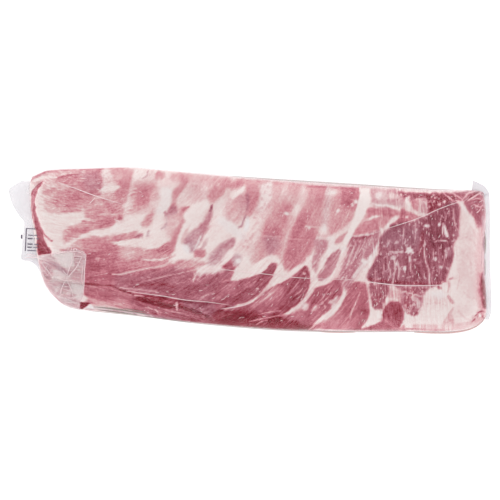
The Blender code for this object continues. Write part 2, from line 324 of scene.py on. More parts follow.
# %% Grid of a closed slab
def slab_grid(across_x, across_y, rings):
    """u, v and turn of every point, and the quads. The lid is a grid of (u, v) at turn 0, and the base is the
    same grid at turn 1. The rings between them follow the lid's border, at turns in between."""
    n, m = across_x, across_y
    u, v = np.meshgrid(np.linspace(-1, 1, n), np.linspace(-1, 1, m), indexing="ij")
    index = np.arange(n * m).reshape(n, m)
    border = np.concatenate([index[:-1, 0], index[-1, :-1], index[:0:-1, -1], index[0, :0:-1]])
    p = len(border)
    turns = np.linspace(0, 1, rings + 1)[1:-1]
    grid_u = np.concatenate([u.ravel(), np.tile(u.ravel()[border], len(turns)), u.ravel()])
    grid_v = np.concatenate([v.ravel(), np.tile(v.ravel()[border], len(turns)), v.ravel()])
    turn = np.concatenate([np.zeros(n * m), np.repeat(turns, p), np.ones(n * m)])
    base_start = n * m + len(turns) * p
    quad = np.stack([index[:-1, :-1], index[1:, :-1], index[1:, 1:], index[:-1, 1:]], -1).reshape(-1, 4)
    levels = np.vstack([border, (n * m + np.arange(len(turns) * p)).reshape(-1, p), border + base_start])
    upper, lower = levels[:-1], levels[1:]
    wall = np.stack([upper, lower, np.roll(lower, -1, 1), np.roll(upper, -1, 1)], -1).reshape(-1, 4)
    return grid_u, grid_v, turn, np.vstack([quad, wall, quad[:, ::-1] + base_start])


def slab_points(u, v, turn, inset=0.0, lower=0.0, crowding=0.15):
    """Places of the slab's points. Inset draws the sides in and lower lets the top down, both in millimetres.
    The sides are a quarter circle: they turn in by BASE_INSET while they fall from the rim to the table."""
    def crowd(t):
        """Moves grid lines towards the edges, where the form bends most: t (1 + c) - c t^3."""
        return t * (1 + crowding) - crowding * t**3

    angle = turn * np.pi / 2
    draw = inset + BASE_INSET * (1 - np.cos(angle)) * (turn > 0)
    place = plan(crowd(u) * (1 - draw / HALF_LENGTH), crowd(v) * (1 - draw / HALF_WIDTH))
    x, y = place[:, 0], place[:, 1]
    z = RIM_HEIGHT * (1 - np.sin(angle))
    lid, base = turn == 0, turn == 1
    z[lid] = np.maximum(top_of_pack(x[lid], y[lid]) - lower, RIM_HEIGHT)
    z[base] = underside(x[base], y[base]) + 0.5 * lower
    return x, y, np.maximum(z, 0.5 * lower)


def make_piece(name, x, y, z, quads, material, smooth=True):
    """A mesh object from arrays of places in millimetres and rows of corner numbers, riding on the pack."""
    mesh = bpy.data.meshes.new(name)
    mesh.from_pydata((np.column_stack([x, y, z]) * METRES).tolist(), [], quads.tolist())
    mesh.materials.append(material)
    if smooth:
        mesh.shade_smooth()
    piece = bpy.data.objects.new(name, mesh)
    bpy.context.scene.collection.objects.link(piece)
    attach(piece, "root")
    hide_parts("rib_pack")
    return piece


def keep_values(piece, **values):
    """Stores one number a point under each name, for the material to read as an attribute."""
    for name, value in values.items():
        stored = piece.data.attributes.new(name, "FLOAT", "POINT")
        stored.data.foreach_set("value", np.asarray(value, np.float32))


def keep_map(piece, name, across, run):
    """Stores two numbers a point as a UV map, in millimetres / 100."""
    corner = np.empty(len(piece.data.loops), np.int32)
    piece.data.loops.foreach_get("vertex_index", corner)
    layer = piece.data.uv_layers.new(name=name)
    layer.data.foreach_set("uv", (np.column_stack([across, run])[corner] / 100).astype(np.float32).ravel())


FILM_GAP = 0.6  # how far the meat stays under the film's upper side
MEAT_U, MEAT_V, MEAT_TURN, MEAT_QUADS = slab_grid(across_x=380, across_y=116, rings=10)
MX, MY, MZ = slab_points(MEAT_U, MEAT_V, MEAT_TURN, inset=0.9, lower=FILM_GAP)
print("meat grid:", len(MX), "points,", 2 * len(MEAT_QUADS), "triangles")

# %% [markdown]
# Meat has a grain. The fibres run in arcs round the fan's centre over most of the rack, straight across it in
# the big muscle at the broad end, and lengthwise in the folded front edge. Each point carries both readings,
# and a number that says which one holds. Brushes fray their edges along it, and the shader draws its streaks.

# %% Grain
TOP, BASE_SIDE = MEAT_TURN == 0, MEAT_TURN == 1
SIDE, WALL = ~TOP, (MEAT_TURN > 0) & (MEAT_TURN < 1)
fan_across, fan_run = fan(MX, MY)
FOLD_TURN = math.radians(-13)
FOLD_END_X, BROAD_GRAIN_X = 30, 96  # the fold ends at the one, and the big muscle's grain begins at the other
folded = (MX < FOLD_END_X) & (step_down(MX, MY, FOLD, 1.0) > 0.5) & TOP
straight = np.where(folded, 1.0, ease((MX - BROAD_GRAIN_X) / 14))
straight[SIDE] = 1.0
lengthwise = folded | WALL
straight_across = np.where(lengthwise, MY * math.cos(FOLD_TURN) - MX * math.sin(FOLD_TURN), MX + 0.10 * MY)
straight_across = np.where(WALL, MZ, straight_across)
straight_run = np.where(lengthwise, MX * math.cos(FOLD_TURN) + MY * math.sin(FOLD_TURN), MY)


def grain_noise(across, run, seed):
    """Noise in streaks along the grain: across millimetres wide and run millimetres long, from -1 to 1. It
    blends the noise in the fan's readings and in the straight ones, by how straight the grain is."""
    curved = noise(fan_across / across, fan_run / run, seed)
    return curved + (noise(straight_across / across, straight_run / run, seed + 1) - curved) * straight


print("straight grain on", round(float((straight > 0.5).mean()) * 100), "% of the points")

# %% [markdown]
# Meat is painted, not cut out: lean and fat melt into each other along the fibres. One number for each point
# says how red the tissue is, from 0 for white fat over 0.5 for rosy lean to 1.2 for the dark inside of a
# slit. A second says how cool and grey it is, and a third how much fat is shot through it. The shader turns
# them into colour later, and adds fine streaks. Each muscle is a loop, each seam of fat a strand.

# %% Brushes for the meat side
PX, PY = MX[TOP], MY[TOP]
WANDER = (0.7 * grain_noise(3.1, 12, 5) + 0.5 * noise(MX / 2.3, MY / 2.3, 6))[TOP]
FRAY = (0.7 * grain_noise(2.0, 22, 11) + 0.5 * grain_noise(4.6, 34, 13))[TOP]
CALM_ZONE = loop_through([
    (-112, 74), (-114, 44), (-108, 22), (-90, 12), (-70, 2), (-45, -8), (-10, -8), (20, -10), (50, -8),
    (80, 6), (100, 24), (104, 74)])
calm = ease(depth_inside(CALM_ZONE, PX, PY) / 14 + 0.5)  # 1 over the upper ribs, where the fibres hardly show
FRAY *= 1 - 0.45 * calm
BROAD_FAT_X = 182  # past it the end's own fat has no fibres either
calm = np.maximum(calm, 1.5 * ease((PX - BROAD_FAT_X) / 6))
red = (0.13 + 0.05 * grain_noise(8, 30, 7) + 0.03 * noise(MX / 4, MY / 4, 8))[TOP]
cool, marble, groove = np.zeros(len(PX)), np.full(len(PX), 0.2), np.zeros(len(PX))
laid = []
MELT = 1.9  # how much softer than drawn the edges between lean and fat are laid


def lay(where, amount, tone, chill=None, shot=None, sunk=None):
    """Blends the tissue towards the given numbers by amount at the points where."""
    for field, value in ((red, tone), (cool, chill), (marble, shot), (groove, sunk)):
        if value is not None:
            field[where] += (value - field[where]) * amount
    laid.append(tone)


def patch(points, tone, soft=1.4, amount=1.0, chill=None, shot=None, sunk=None, crisp=False):
    """Tissue inside a closed curve. Its edge is soft millimetres wide: ease(depth / soft + 0.5). It wanders a
    little, and a soft edge is frayed along the grain too. A crisp one keeps straight sides."""
    loop = np.array(points, float) if crisp else loop_through(points)
    low, high = loop.min(0) - MELT * soft - 3, loop.max(0) + MELT * soft + 3
    where = np.flatnonzero((PX > low[0]) & (PX < high[0]) & (PY > low[1]) & (PY < high[1]))
    depth = depth_inside(loop, PX[where], PY[where])
    if not crisp:
        soft = soft * MELT if soft > 1.2 else soft
        depth += WANDER[where] * min(1.0, soft / 1.4) + FRAY[where] * 0.5 * max(0.0, min(soft, 6) - 1.2)
    lay(where, amount * ease(depth / soft + 0.5), tone, chill, shot, sunk)


def strand(points, width, tone, soft=1.0, amount=1.0, chill=None, shot=None, sunk=None):
    """Tissue along a line, where half its width less the distance to it is above 0. Width is one number, or
    several spread evenly from the line's start to its end."""
    line = line_through(points)
    widths = np.atleast_1d(np.array(width, float))
    soft = soft * 1.4 if widths.max() > 2 and soft > 1.0 else soft
    reach = widths.max() / 2 + soft + 3
    low, high = line.min(0) - reach, line.max(0) + reach
    where = np.flatnonzero((PX > low[0]) & (PX < high[0]) & (PY > low[1]) & (PY < high[1]))
    distance, share, _ = distance_to(line, PX[where], PY[where])
    half = np.interp(share, np.linspace(0, 1, len(widths)), widths) / 2
    rough = 0.4 * WANDER[where] + 0.4 * FRAY[where] * max(0.0, min(soft, 4) - 1.2)
    depth = half - distance + rough * (widths.max() > 2)
    lay(where, amount * ease(depth / soft + 0.5), tone, chill, shot, sunk)


def spot(centre, size, tone, soft=1.2, turn=0.0, amount=1.0, chill=None, shot=None, sunk=None):
    """Tissue inside an ellipse of that length and width: a cos(t), b sin(t), turned by turn degrees."""
    a = np.radians(np.arange(0, 360, 30))
    c, s = math.cos(math.radians(turn)), math.sin(math.radians(turn))
    ex, ey = size[0] / 2 * np.cos(a), size[1] / 2 * np.sin(a)
    loop = np.column_stack([centre[0] + c * ex - s * ey, centre[1] + s * ex + c * ey])
    patch(loop, tone, soft, amount, chill, shot, sunk)


def strands(lines, width, tone, soft=1.0, amount=1.0, **more):
    """The same kind of strand along several lines."""
    for line in lines:
        strand(line, width, tone, soft, amount, **more)


def spots(places, tone, soft=1.2, turn=0.0, amount=1.0, **more):
    """The same kind of spot at several places, each given as x, y, length and width."""
    for x, y, wide, high in places:
        spot((x, y), (wide, high), tone, soft, turn, amount, **more)


print("brushes ready for", len(PX), "points of the meat side")

# %% [markdown]
# The narrow end is mostly fat, with thin sheets of lean that run lengthwise. At its very edge the knife has
# left a dark crescent, and under it begins the first large muscle.

# %% Narrow end: fat and thin lean
patch([(-196, 54), (-186, 64), (-160, 68), (-124, 70), (-116, 60), (-116, 40), (-140, 30), (-184, 26),
    (-190, 40)], 0.3, 7)
strand([(-186, 63), (-165, 65.5), (-145, 67), (-128, 68)], (3, 4, 4, 3), 0.5, 2.4)
patch([(-178, 56.5), (-172, 59), (-160, 61), (-150, 63), (-142, 65), (-136, 64.5), (-133.5, 60), (-134, 52),
    (-136, 45.5), (-140, 43), (-150, 45.5), (-160, 48.5), (-168, 52)], 0.55, 1.8)
patch([(-153, 62), (-140, 63), (-135, 58), (-136, 49), (-146, 48), (-152, 54)], 0.58, 5, chill=0.35)
strand([(-178, 56.2), (-172, 58.3), (-165, 60), (-155, 61.5)], (1, 2, 1.6, 1), 0.7)
patch([(-182, 49), (-172, 51), (-160, 48), (-150, 45), (-141, 42), (-143, 38), (-149, 34), (-149.5, 29.5),
    (-160, 26.5), (-178, 26.5), (-183, 34)], 0.4, 5)
patch([(-174, 48), (-160, 46.5), (-148, 42.5), (-144.5, 38), (-149, 33), (-160, 32.5), (-174, 34)], 0.53, 7)
patch([(-166, 45), (-156, 45), (-147, 41.5), (-145, 38), (-150, 36), (-160, 37)], 0.6, 5)
strand([(-176, 28.2), (-164, 28), (-153, 29)], (1.5, 3, 2), 0.5, 1.8)
patch([(-146, 36), (-140, 40), (-128, 40), (-117, 36), (-116, 28), (-117, 22), (-122, 21.5), (-130, 21),
    (-140, 20), (-148.5, 21.5), (-149, 28), (-149.5, 33)], 0.5, 2)
patch([(-128, 38), (-117, 35), (-116.5, 24), (-122, 22), (-128, 27)], 0.62, 5)
patch([(-152, 20.5), (-140, 20), (-128, 21.5), (-121, 21), (-122, 17), (-128, 14), (-136, 12.8), (-144, 14.5),
    (-150, 16)], 0.62, 1.6)
strand([(-136, 26.5), (-128, 27.4), (-119, 26)], (0.6, 1.2, 0.8), 0.28, 1)
strand([(-128, 30), (-120, 31), (-117, 24)], (2, 4, 3), 0.72, 2.4)
patch([(-168, 3), (-168.5, 9), (-166, 13), (-160, 15.5), (-152, 17.5), (-145, 18.5), (-145, 13), (-149, 8.5),
    (-154, 4), (-160, 0), (-166, -2)], 0.46, 2.6)
strand([(-163, 6), (-155, 10), (-147, 13)], (3, 5, 3), 0.56, 3)
patch([(-190, 30), (-180, 26), (-165, 25.8), (-152, 28), (-150, 24), (-153, 18.5), (-164, 15.5), (-169.5, 10),
    (-169.5, 4), (-168, -4), (-172, -14), (-182, -9), (-188, 4), (-192, 16), (-194, 26)], 0.13, 2)
strand([(-165, -3), (-157, 1.5), (-150, 6.5), (-144, 9.5), (-135, 10.5), (-125, 13), (-113, 17)],
    (1.4, 2, 2.6, 4, 4, 5, 7), 0.12, 1.2)
strand([(-192, 47), (-190, 36), (-187, 27)], 5, 0.14, 3)
strands([[(-149, 10.6), (-141, 13.6), (-132, 17), (-124, 22)], [(-150, 42), (-143, 44.6), (-137, 49)],
    [(-136.6, 66), (-135, 58), (-136, 51)]], (3, 4, 3), 0.72, 2, 0.7)
for x, y, long in [
    (-172, 31.5, 22), (-168, 44, 20), (-171, 39, 14), (-162, 41, 10), (-160, 36, 12), (-170, 35, 10),
    (-158, 52, 14), (-150, 58, 10), (-165, 47.5, 12), (-134, 31, 16), (-136, 36, 12), (-130, 26, 12),
    (-156, 9, 10), (-140, 17, 16),
]:
    strand([(x - long / 2, y), (x, y + 0.3), (x + long / 2, y - 0.4)], (0.6, 1.1, 0.6), 0.26, 1.2, 0.55)
print("laid", len(laid), "strokes")

# %% Narrow end: crescent and lip
patch([(-188, 53.5), (-193, 50), (-197, 45.5), (-198.2, 40), (-198, 33), (-197, 25), (-194.6, 15),
    (-192.4, 8), (-190.6, 0), (-190, -11.5), (-185, -12), (-178, -10.3), (-181, -5), (-184.5, 1), (-186, 7.5),
    (-188.6, 13.5), (-191, 20), (-193.2, 28), (-194.2, 35), (-193.6, 41), (-191, 47.5)], 0.86, 1, sunk=0.8)
strand([(-189, 52.5), (-193.5, 48.5), (-196.4, 42), (-196, 33), (-194.8, 24)], (1, 2, 1.8, 1.6), 0.7, 0.8)
strand([(-194.6, 34), (-195.4, 27), (-193.6, 19), (-191, 10)], (0.6, 1.2, 1.2, 0.8), 0.98, 0.8)
strand([(-196.8, 31), (-195, 20), (-192.4, 9)], (0.5, 0.8, 0.5), 0.46, 0.8)
patch([(-190.6, 2), (-188, 0), (-184, -4), (-178, -10.3), (-185, -12), (-190, -11.5)], 1.04, 1.4, sunk=0.8)
strand([(-190, 17), (-187.5, 11), (-184, 5.6), (-180, 2.2), (-177, 0.5)], (1, 1.6, 1.4, 0.8), 0.7, 0.8)
strand([(-188, -1), (-184, -6), (-181, -9.4)], (0.5, 0.9, 0.5), 0.6, 0.8)
strand([(-200, 54.5), (-194, 58.8), (-188, 62), (-181, 63.8)], (3, 5, 4, 1.5), 0.6, 1.2, chill=0.2)
strand([(-198, 53), (-190, 56.5), (-183, 58), (-176, 57.5)], (1.4, 2.6, 3, 1.5), 0.14, 1.3)
print("laid", len(laid), "strokes")

# %% [markdown]
# Under the narrow end lies the largest sheet of lean. It runs into the middle as long streaks, and the front
# edge is folded over along a dark seam.

# %% Large lean under the narrow end, and the fold
patch([(-157, -2), (-150, 4), (-142, 6), (-130, 6.5), (-120, 8), (-108, 10), (-99, 11), (-99, 7), (-110, 5),
    (-120, 2.5), (-128, 0.5), (-130, -5), (-140, -9), (-147, -9.5), (-152, -5)], 0.62, 1.4)
patch([(-147, -8), (-136, -4), (-127, 1.5), (-119, 0.5), (-112, -3.5), (-100, -3.5), (-88, -3), (-78, 0),
    (-72, 3), (-69, -2), (-71, -8), (-72, -14), (-60, -16), (-46, -18), (-55, -26), (-80, -33), (-105, -39),
    (-125, -40), (-147, -38)], 0.66, 1.6)
patch([(-147, -12), (-138, -8), (-128, -12), (-119, -20), (-116, -30), (-120, -39), (-147, -39)], 0.78, 7)
patch([(-118, -28), (-104, -25), (-84, -22), (-62, -18), (-58, -24), (-90, -32), (-104, -37), (-118, -37)],
    0.78, 5, chill=0.4)
patch([(-118, -1), (-104, -2), (-96, -6), (-104, -12), (-116, -9)], 0.42, 4)
strand([(-102, -6), (-88, -9), (-76, -9), (-70, -12)], (4, 9, 8, 4), 0.44, 3, 0.6)
strand([(-98, -18.6), (-84, -16.6), (-72, -14)], (2, 4, 2), 0.46, 2, 0.6)
spot((-136, -13), (5, 3), 0.4)
patch([(-118, 1.6), (-112, 3.5), (-100, 5), (-99, 12), (-88, 14), (-80, 10), (-78, 3), (-90, 0.5),
    (-105, -0.8), (-113, -0.8)], 0.12, 1.6)
strand([(-122, -26.8), (-114, -26.5), (-104, -23), (-94, -21), (-84, -19), (-75, -16.5), (-70, -12),
    (-66, -8)], (1, 2.2, 1.4, 1.8, 2.4), 0.2, 1.2)
strand([(-97, -12.8), (-88, -12.6), (-78, -11.6), (-71, -9)], (1, 2, 1), 0.12, 0.9)
patch([(-169, -8.5), (-164, -4.5), (-158, -1), (-152, 3), (-149, -2), (-151, -9), (-160, -9)], 0.48, 1.8)
patch([(-147, -37.5), (-130, -38.5), (-118, -39.5), (-108, -42.5), (-98, -46), (-90, -49), (-80, -53),
    (-70, -57), (-60, -61), (-62, -66), (-80, -65), (-100, -60.5), (-112, -55), (-128, -52.5), (-140, -50.5),
    (-147, -46)], 0.74, 1.8)
patch([(-144, -39), (-124, -40), (-106, -45), (-104, -50), (-128, -47), (-144, -45)], 0.76, 4)
patch([(-104, -49), (-90, -51), (-76, -53), (-60, -54), (-46, -57), (-28, -64), (-22, -72), (-60, -70),
    (-85, -66), (-100, -60)], 0.86, 2.4, chill=0.2, shot=0.4)
strand([(-66, -59), (-50, -62), (-34, -65)], (2, 5, 4), 0.92, 2.4)
patch([(-143, -50), (-138, -51.5), (-125, -52.4), (-112, -53), (-105, -54.5), (-106, -58), (-120, -57),
    (-144, -54.5)], 0.5, 2.6)
strand([(-139, -57.4), (-125, -58.6), (-112, -59.8), (-98, -61.4), (-84, -63)], (2, 3.5, 3.5, 3, 2), 0.3, 1.2,
    chill=1)
# painted shadow: grey lines along the front rim
strand([(-137, -57.2), (-120, -58.6), (-100, -60.4), (-80, -62.8), (-60, -65)], (0.7, 1.1, 1.1, 0.9), 0.56,
    0.7, chill=1)
strand([(-132, -59.4), (-115, -60.6), (-98, -62)], (0.7, 1, 0.7), 0.46, 0.7, chill=1)
patch([(-151, -52.6), (-140.8, -53.4), (-144.8, -57), (-148.5, -59.8), (-151, -60)], 1.14, 0.7, crisp=True,
    sunk=0.6)
patch([(-146.2, -58.6), (-140.4, -54.4), (-137.4, -58.4)], 0.06, 0.6, chill=0.8, crisp=True)
strand([(-145.5, -59.2), (-137.5, -59.2)], 0.9, 0.56, 0.7, chill=1)
print("laid", len(laid), "strokes")

# %% Deep lean above the seam
patch([(-112, -33), (-95, -29), (-75, -25), (-55, -21), (-44, -22), (-30, -20), (-18, -18), (-12, -20),
    (-16, -27), (-24, -31), (-24, -51), (-45, -50), (-65, -48), (-85, -45), (-105, -41), (-120, -39)], 0.8,
    2.2, chill=0.3)
patch([(-62, -48), (-45, -48.5), (-24, -49), (-10, -50), (-16, -56), (-24, -61), (-28, -66), (-36, -62),
    (-46, -58), (-54, -55), (-62, -52.5)], 0.8, 1.6, chill=0.55)
patch([(-104, -43), (-92, -45), (-80, -47), (-68, -49), (-58, -49.5), (-58, -56), (-72, -57), (-86, -54.5),
    (-98, -51)], 0.9, 1.8, chill=0)
strand([(-98, -43.6), (-82, -46), (-66, -48), (-48, -49), (-26, -50.5)], (2, 4, 4, 3), 0.92, 1.5)
strand([(-100, -36.5), (-88, -35), (-76, -34), (-66, -36)], (1, 2, 2.4, 1), 0.94, 1.8, chill=0)
# the dark seam of the fold: dark lean, with painted shade where the fold's step sinks
strand([(-147, -36.2), (-136, -37), (-124, -37.2), (-117, -38.6)], (2, 1.6, 1.6), 1.12, 0.9, sunk=0.3)
strand([(-119, -38.8), (-112, -41.2), (-104, -43.6), (-97, -45.6)], (1.6, 2.2, 2.2, 1.8), 1.14, 1, sunk=0.3)
strand([(-99, -47), (-90, -48.8), (-82, -50.4), (-75, -52), (-67, -53), (-60, -53.6)],
    (1.8, 4.2, 4.4, 4.2, 3.6, 3.4), 1.22, 1.8, sunk=0.3)
strand([(-62, -53.6), (-53, -55.4), (-45, -57.8), (-38, -60.2), (-33, -62.4), (-28.5, -65)],
    (3.2, 3.8, 3.6, 3.2, 2.6, 1.8), 1.22, 1.6, sunk=0.3)
# beside creases of the film: paler lines, and blood-red lines of painted shadow next to them
for line, widths, tone in [
    ([(-118, -38.2), (-104, -35.4), (-88, -30.6), (-72, -26), (-58, -22.4), (-48, -19.6)],
     (0.8, 1.3, 1.3, 1.1), 0.44),
    ([(-116, -39.4), (-104, -36.8), (-88, -32), (-72, -27.4), (-58, -23.8)], (0.6, 1.2, 1, 0.6), 0.96),
    ([(-115, -38.6), (-104, -39.2), (-94, -40), (-82, -40.6)], (0.7, 1.2, 0.9, 0.5), 0.4),
    ([(-106, -43.2), (-90, -44.8), (-75, -46.2), (-64, -47.8), (-50, -49), (-32, -49.8)],
     (0.8, 1.8, 2, 1.8, 1.6, 0.8), 1.08),
    ([(-44, -20.6), (-30, -19.6), (-14, -20.4), (10, -22.4), (40, -24.4)], (0.5, 0.9, 0.8, 0.6), 0.86),
]:
    strand(line, widths, tone, 0.9, 0.9)
# painted reflection: a white glint on the film, with a pale line below it
spot((-63.5, -51.4), (2.4, 4.6), 0.04, 0.9, chill=0.3)
strand([(-63.4, -53), (-63.2, -57)], (1.7, 0.9), 0.2, 0.8)
for line, wide, tone in [
    ([(-73, -57), (-62, -58.8), (-52, -61.2)], 1.2, 0.3),
    ([(-83, -56.5), (-80.5, -59), (-79, -62)], 1.5, 0.34), ([(-92, -55), (-85, -56.5)], 1, 0.42),
    ([(-70, -61), (-60, -62), (-52, -63.5)], 0.9, 0.46),
    ([(-60, -49.8), (-50, -52), (-42, -55), (-37, -58)], 0.8, 0.52), ([(-102, -45), (-94, -45)], 1.2, 0.14),
    ([(-72, -34), (-64, -32.5), (-56, -31)], 1.1, 0.46), ([(-52, -41), (-47, -39)], 1, 0.46),
    ([(-42, -44), (-34, -40.5), (-29, -38), (-24, -33)], 1, 0.4),
    ([(-28, -66), (-26.5, -61), (-20, -55)], 1.1, 0.4), ([(-50, -21), (-48, -26), (-50, -30)], 1.6, 0.4),
    ([(-47, -22), (-44, -26)], 1.6, 0.34), ([(-96, -29), (-88, -28)], 0.8, 0.44),
    ([(-56, -29), (-50, -27.5)], 0.8, 0.46),
]:
    strand(line, (0.6 * wide, wide, 0.6 * wide), tone, 0.9)
# deeper, bloodier streaks along the fold, where they also lay painted shade
for line, widths, tone, amount in [
    ([(-114, -40.6), (-96, -44.6), (-76, -48.6), (-52, -52), (-30, -56)], (2, 5, 7, 7, 5), 1.1, 0.34),
    ([(-104, -33), (-80, -36), (-52, -37), (-26, -35), (-8, -30)], (4, 9, 11, 9, 5), 1.06, 0.34),
    ([(-84, -61), (-66, -62.6), (-44, -63), (-24, -66)], (3, 6, 8, 6), 1.12, 0.4),
    ([(-48, -24), (-34, -25), (-18, -24)], (4, 6, 4), 0.64, 0.4),
]:
    strand(line, widths, tone, 2.6, amount)
patch([(-28, -55), (-10, -52), (8, -55), (24, -57.5), (44, -60), (60, -69), (0, -72), (-30, -69), (-30, -60)],
    1.06, 4)
print("laid", len(laid), "strokes")

# %% [markdown]
# Over the upper ribs the lean shows only in patches, between bands of fat that lean to the right. This is
# where the fan of fibres turns from lengthwise to steep.

# %% Patches of lean over the upper ribs
patch([(-128, 69), (-60, 68), (-16, 66), (-6, 50), (-14, 30), (-40, 26), (-60, 30), (-100, 28), (-124, 40)],
    0.22, 9)
patch([(-128, 68), (-118, 69), (-108.5, 68), (-107.5, 60), (-108, 52), (-110, 44), (-115, 34), (-124, 34),
    (-128, 41), (-125, 47), (-122, 53), (-126, 58)], 0.47, 3.4)
patch([(-121, 52), (-112, 53), (-113, 44), (-117, 37), (-124, 40)], 0.58, 5)
patch([(-135, 66), (-129, 66), (-125, 58), (-120, 53), (-124, 47.5), (-131, 46), (-134, 53)], 0.24, 2.4)
strand([(-137, 47), (-130, 49.4), (-123, 51), (-118.5, 51.5)], (1.6, 4, 4, 1.4), 0.12, 1.4)
strand([(-103, 66), (-106, 58), (-108.6, 48), (-111, 38)], (6, 4, 3, 2.4), 0.15, 2.2)
patch([(-106, 54), (-100, 57), (-90, 57), (-86, 52), (-90, 46), (-91.5, 40), (-95, 35), (-98, 31.5),
    (-104, 29.5), (-113, 26.5), (-109, 32), (-107, 40), (-108, 48)], 0.5, 5)
patch([(-105, 51), (-96, 53), (-92.5, 45), (-95, 37), (-103, 34), (-106, 42)], 0.58, 4)
spot((-99, 43), (8, 16), 0.68, 6, -15)
for k in range(7):
    strand([(-114 + 0.8 * k, 28 + 3.6 * k), (-110 + 0.8 * k, 29.2 + 3.6 * k),
        (-106 + 0.6 * k, 29.6 + 3.6 * k)], (0.5, 1, 0.5), 0.14, 0.9, 0.7)
patch([(-105, 68), (-97, 67), (-97, 61), (-101, 59), (-106, 61)], 0.13, 3)
strand([(-94.6, 67), (-95.2, 63), (-98.5, 60)], (1, 1.8, 1), 0.52, 1, chill=0.5)
patch([(-87, 66), (-80, 66.4), (-79.6, 62.5), (-82.6, 60), (-87, 60.4)], 0.5, 2)
patch([(-91, 43), (-87, 47.5), (-83, 47.5), (-82.6, 44), (-86, 41), (-90, 40.6)], 0.44, 2.6)
patch([(-98, 18.5), (-92, 16.5), (-88, 23), (-86.5, 29), (-83, 33.5), (-87, 33.5), (-92, 29.5), (-96, 24.5)],
    0.48, 2.6)
strand([(-127, 4.6), (-115, 6.8), (-105, 9), (-98, 10.5)], (4, 5.4, 4.6, 3), 0.5, 2.2)
spot((-100, 9), (6, 3.4), 0.62, 2, 15, chill=0.5)
patch([(-85.6, 27), (-80, 31), (-76, 20), (-78, 8), (-88, 11)], 0.12, 3)
patch([(-82, 50), (-74, 52), (-72, 42), (-77, 31), (-86, 30), (-82, 40)], 0.09, 3, chill=0.4)
strand([(-80, 15.6), (-77, 18), (-75.5, 22), (-76.4, 26)], (1.4, 2.2, 1.6, 1.4), 0.48, 1.2, chill=0.8)
strand([(-92.4, 9), (-91.4, 13)], 2.2, 0.4, 1.2, chill=0.8)
patch([(-66, 66.5), (-57, 66), (-56, 60), (-60, 54), (-65, 48), (-68, 50), (-66, 57), (-66, 62)], 0.52, 2.6)
strand([(-58.6, 64), (-60.6, 58), (-65, 52.5), (-68.6, 47), (-69.8, 41), (-70, 35)], (5, 5, 6.4, 7, 3.6, 5),
    0.54, 2.6)
patch([(-73, 35), (-67.6, 36), (-67.6, 30), (-71, 27), (-76, 28)], 0.74, 2, chill=0.4)
for x, y in [(-76.6, 27.4), (-74, 24.8), (-77.4, 30), (-67, 31.4), (-71, 25.6)]:
    spot((x, y), (2.4, 1.8), 0.66, 1.2, 60, chill=0.6)
patch([(-74, 66), (-67, 66), (-66.5, 61), (-70, 59), (-73.6, 60.4)], 0.4, 2.4)
patch([(-61, 67), (-24, 66), (-22, 60), (-34, 56), (-44, 57), (-56, 58)], 0.38, 4)
patch([(-56, 60), (-45, 60), (-43, 48), (-50, 42), (-57, 46)], 0.34, 5, chill=0.1, shot=0.6)
patch([(-64, 34), (-59, 35), (-56, 25), (-57.6, 16), (-61, 8), (-64.6, -1), (-80, -3), (-73, 2), (-68, 10),
    (-66.6, 18), (-67, 27)], 0.48, 3)
patch([(-75, 28), (-66, 30), (-62, 22), (-66, 12), (-72, 8), (-76, 18)], 0.38, 6)
strand([(-60.5, 30), (-61.5, 22), (-64, 15), (-67, 9)], (4, 5, 5, 5), 0.56, 4)
strand([(-64, 10), (-68, 3), (-76, -1.5)], (4, 5, 4), 0.62, 4)
strand([(-61, 34), (-58, 35.2), (-56, 36.2)], (2.4, 3, 1.8), 0.62, 1.6)
print("laid", len(laid), "strokes")

# %% Middle: grey lobes and fat between them
strand([(-57, 28), (-49, 34), (-42, 39)], (8, 10, 7), 0.1, 2.6)
strand([(-56, 24), (-61, 14), (-64, 4), (-62, -5)], (5, 3.4, 4, 7), 0.09, 2)
patch([(-36, 35), (-35.4, 28), (-38, 20), (-42, 11.5), (-46, 3), (-49.5, -3), (-55, -5), (-60, 1), (-58, 9),
    (-51.6, 15.4), (-45, 21), (-40.4, 26), (-37.8, 32)], 0.55, 1.7, chill=0.55, shot=0.4)
patch([(-37, 31), (-36.5, 26), (-39, 19), (-43, 13), (-46, 18), (-41, 26)], 0.74, 3, chill=0.4)
spot((-54, 1), (8, 10), 0.54, 4, chill=0.9)
strand([(-38.5, 8), (-41, 3), (-44, -1)], (2, 3.4, 2), 0.5, 1.4, chill=0.5)
strand([(-44, 12), (-47, 4), (-50, -2)], (1, 1.6, 1), 0.16, 1.2, chill=0.8)
strand([(-36, 39), (-36.2, 36), (-37, 33)], (1.4, 2.4, 2), 0.9, 1, chill=0.7)
patch([(-21, 63), (-26, 64), (-33, 58), (-39.5, 49), (-38, 43), (-33.5, 41.5), (-29, 47), (-24, 55)], 0.54, 3)
spot((-31, 57), (2.4, 2.4), 0.18, 1.4)
patch([(-32, 40), (-24, 46), (-19, 42), (-20, 26), (-28, 18), (-36, 8), (-40, 6), (-33, 20)], 0.16, 3,
    chill=0.1)
patch([(-23, 42), (-12, 48), (-6, 46), (-6, 32), (-10, 26), (-17, 22), (-23, 28)], 0.36, 5)
patch([(-12, 48), (-5, 48), (-5, 34), (-9, 31), (-13, 38)], 0.46, 4, chill=0.2)
patch([(-22, 60), (-8, 63), (-6, 58), (-14, 54), (-21, 54)], 0.54, 3)
strand([(-18, 47), (-12, 51.5), (-5, 56.5), (0, 60.5)], (3, 4, 4, 2), 0.1, 2)
patch([(-50, -4), (-46, -1), (-41, -2), (-39.5, -6), (-43.5, -9), (-49, -8)], 0.68, 2)
patch([(-14, 9.5), (-13.5, 4.5), (-18, 0), (-22, -5), (-26, -11), (-33, -16), (-38, -14), (-36, -6),
    (-31, -1), (-27, 4), (-20, 8)], 0.5, 2.2, chill=0.6, shot=0.5)
patch([(-15, 9), (-14, 4), (-19, 0), (-26, 1), (-22, 6)], 0.66, 2.4, chill=0.5, shot=0.6)
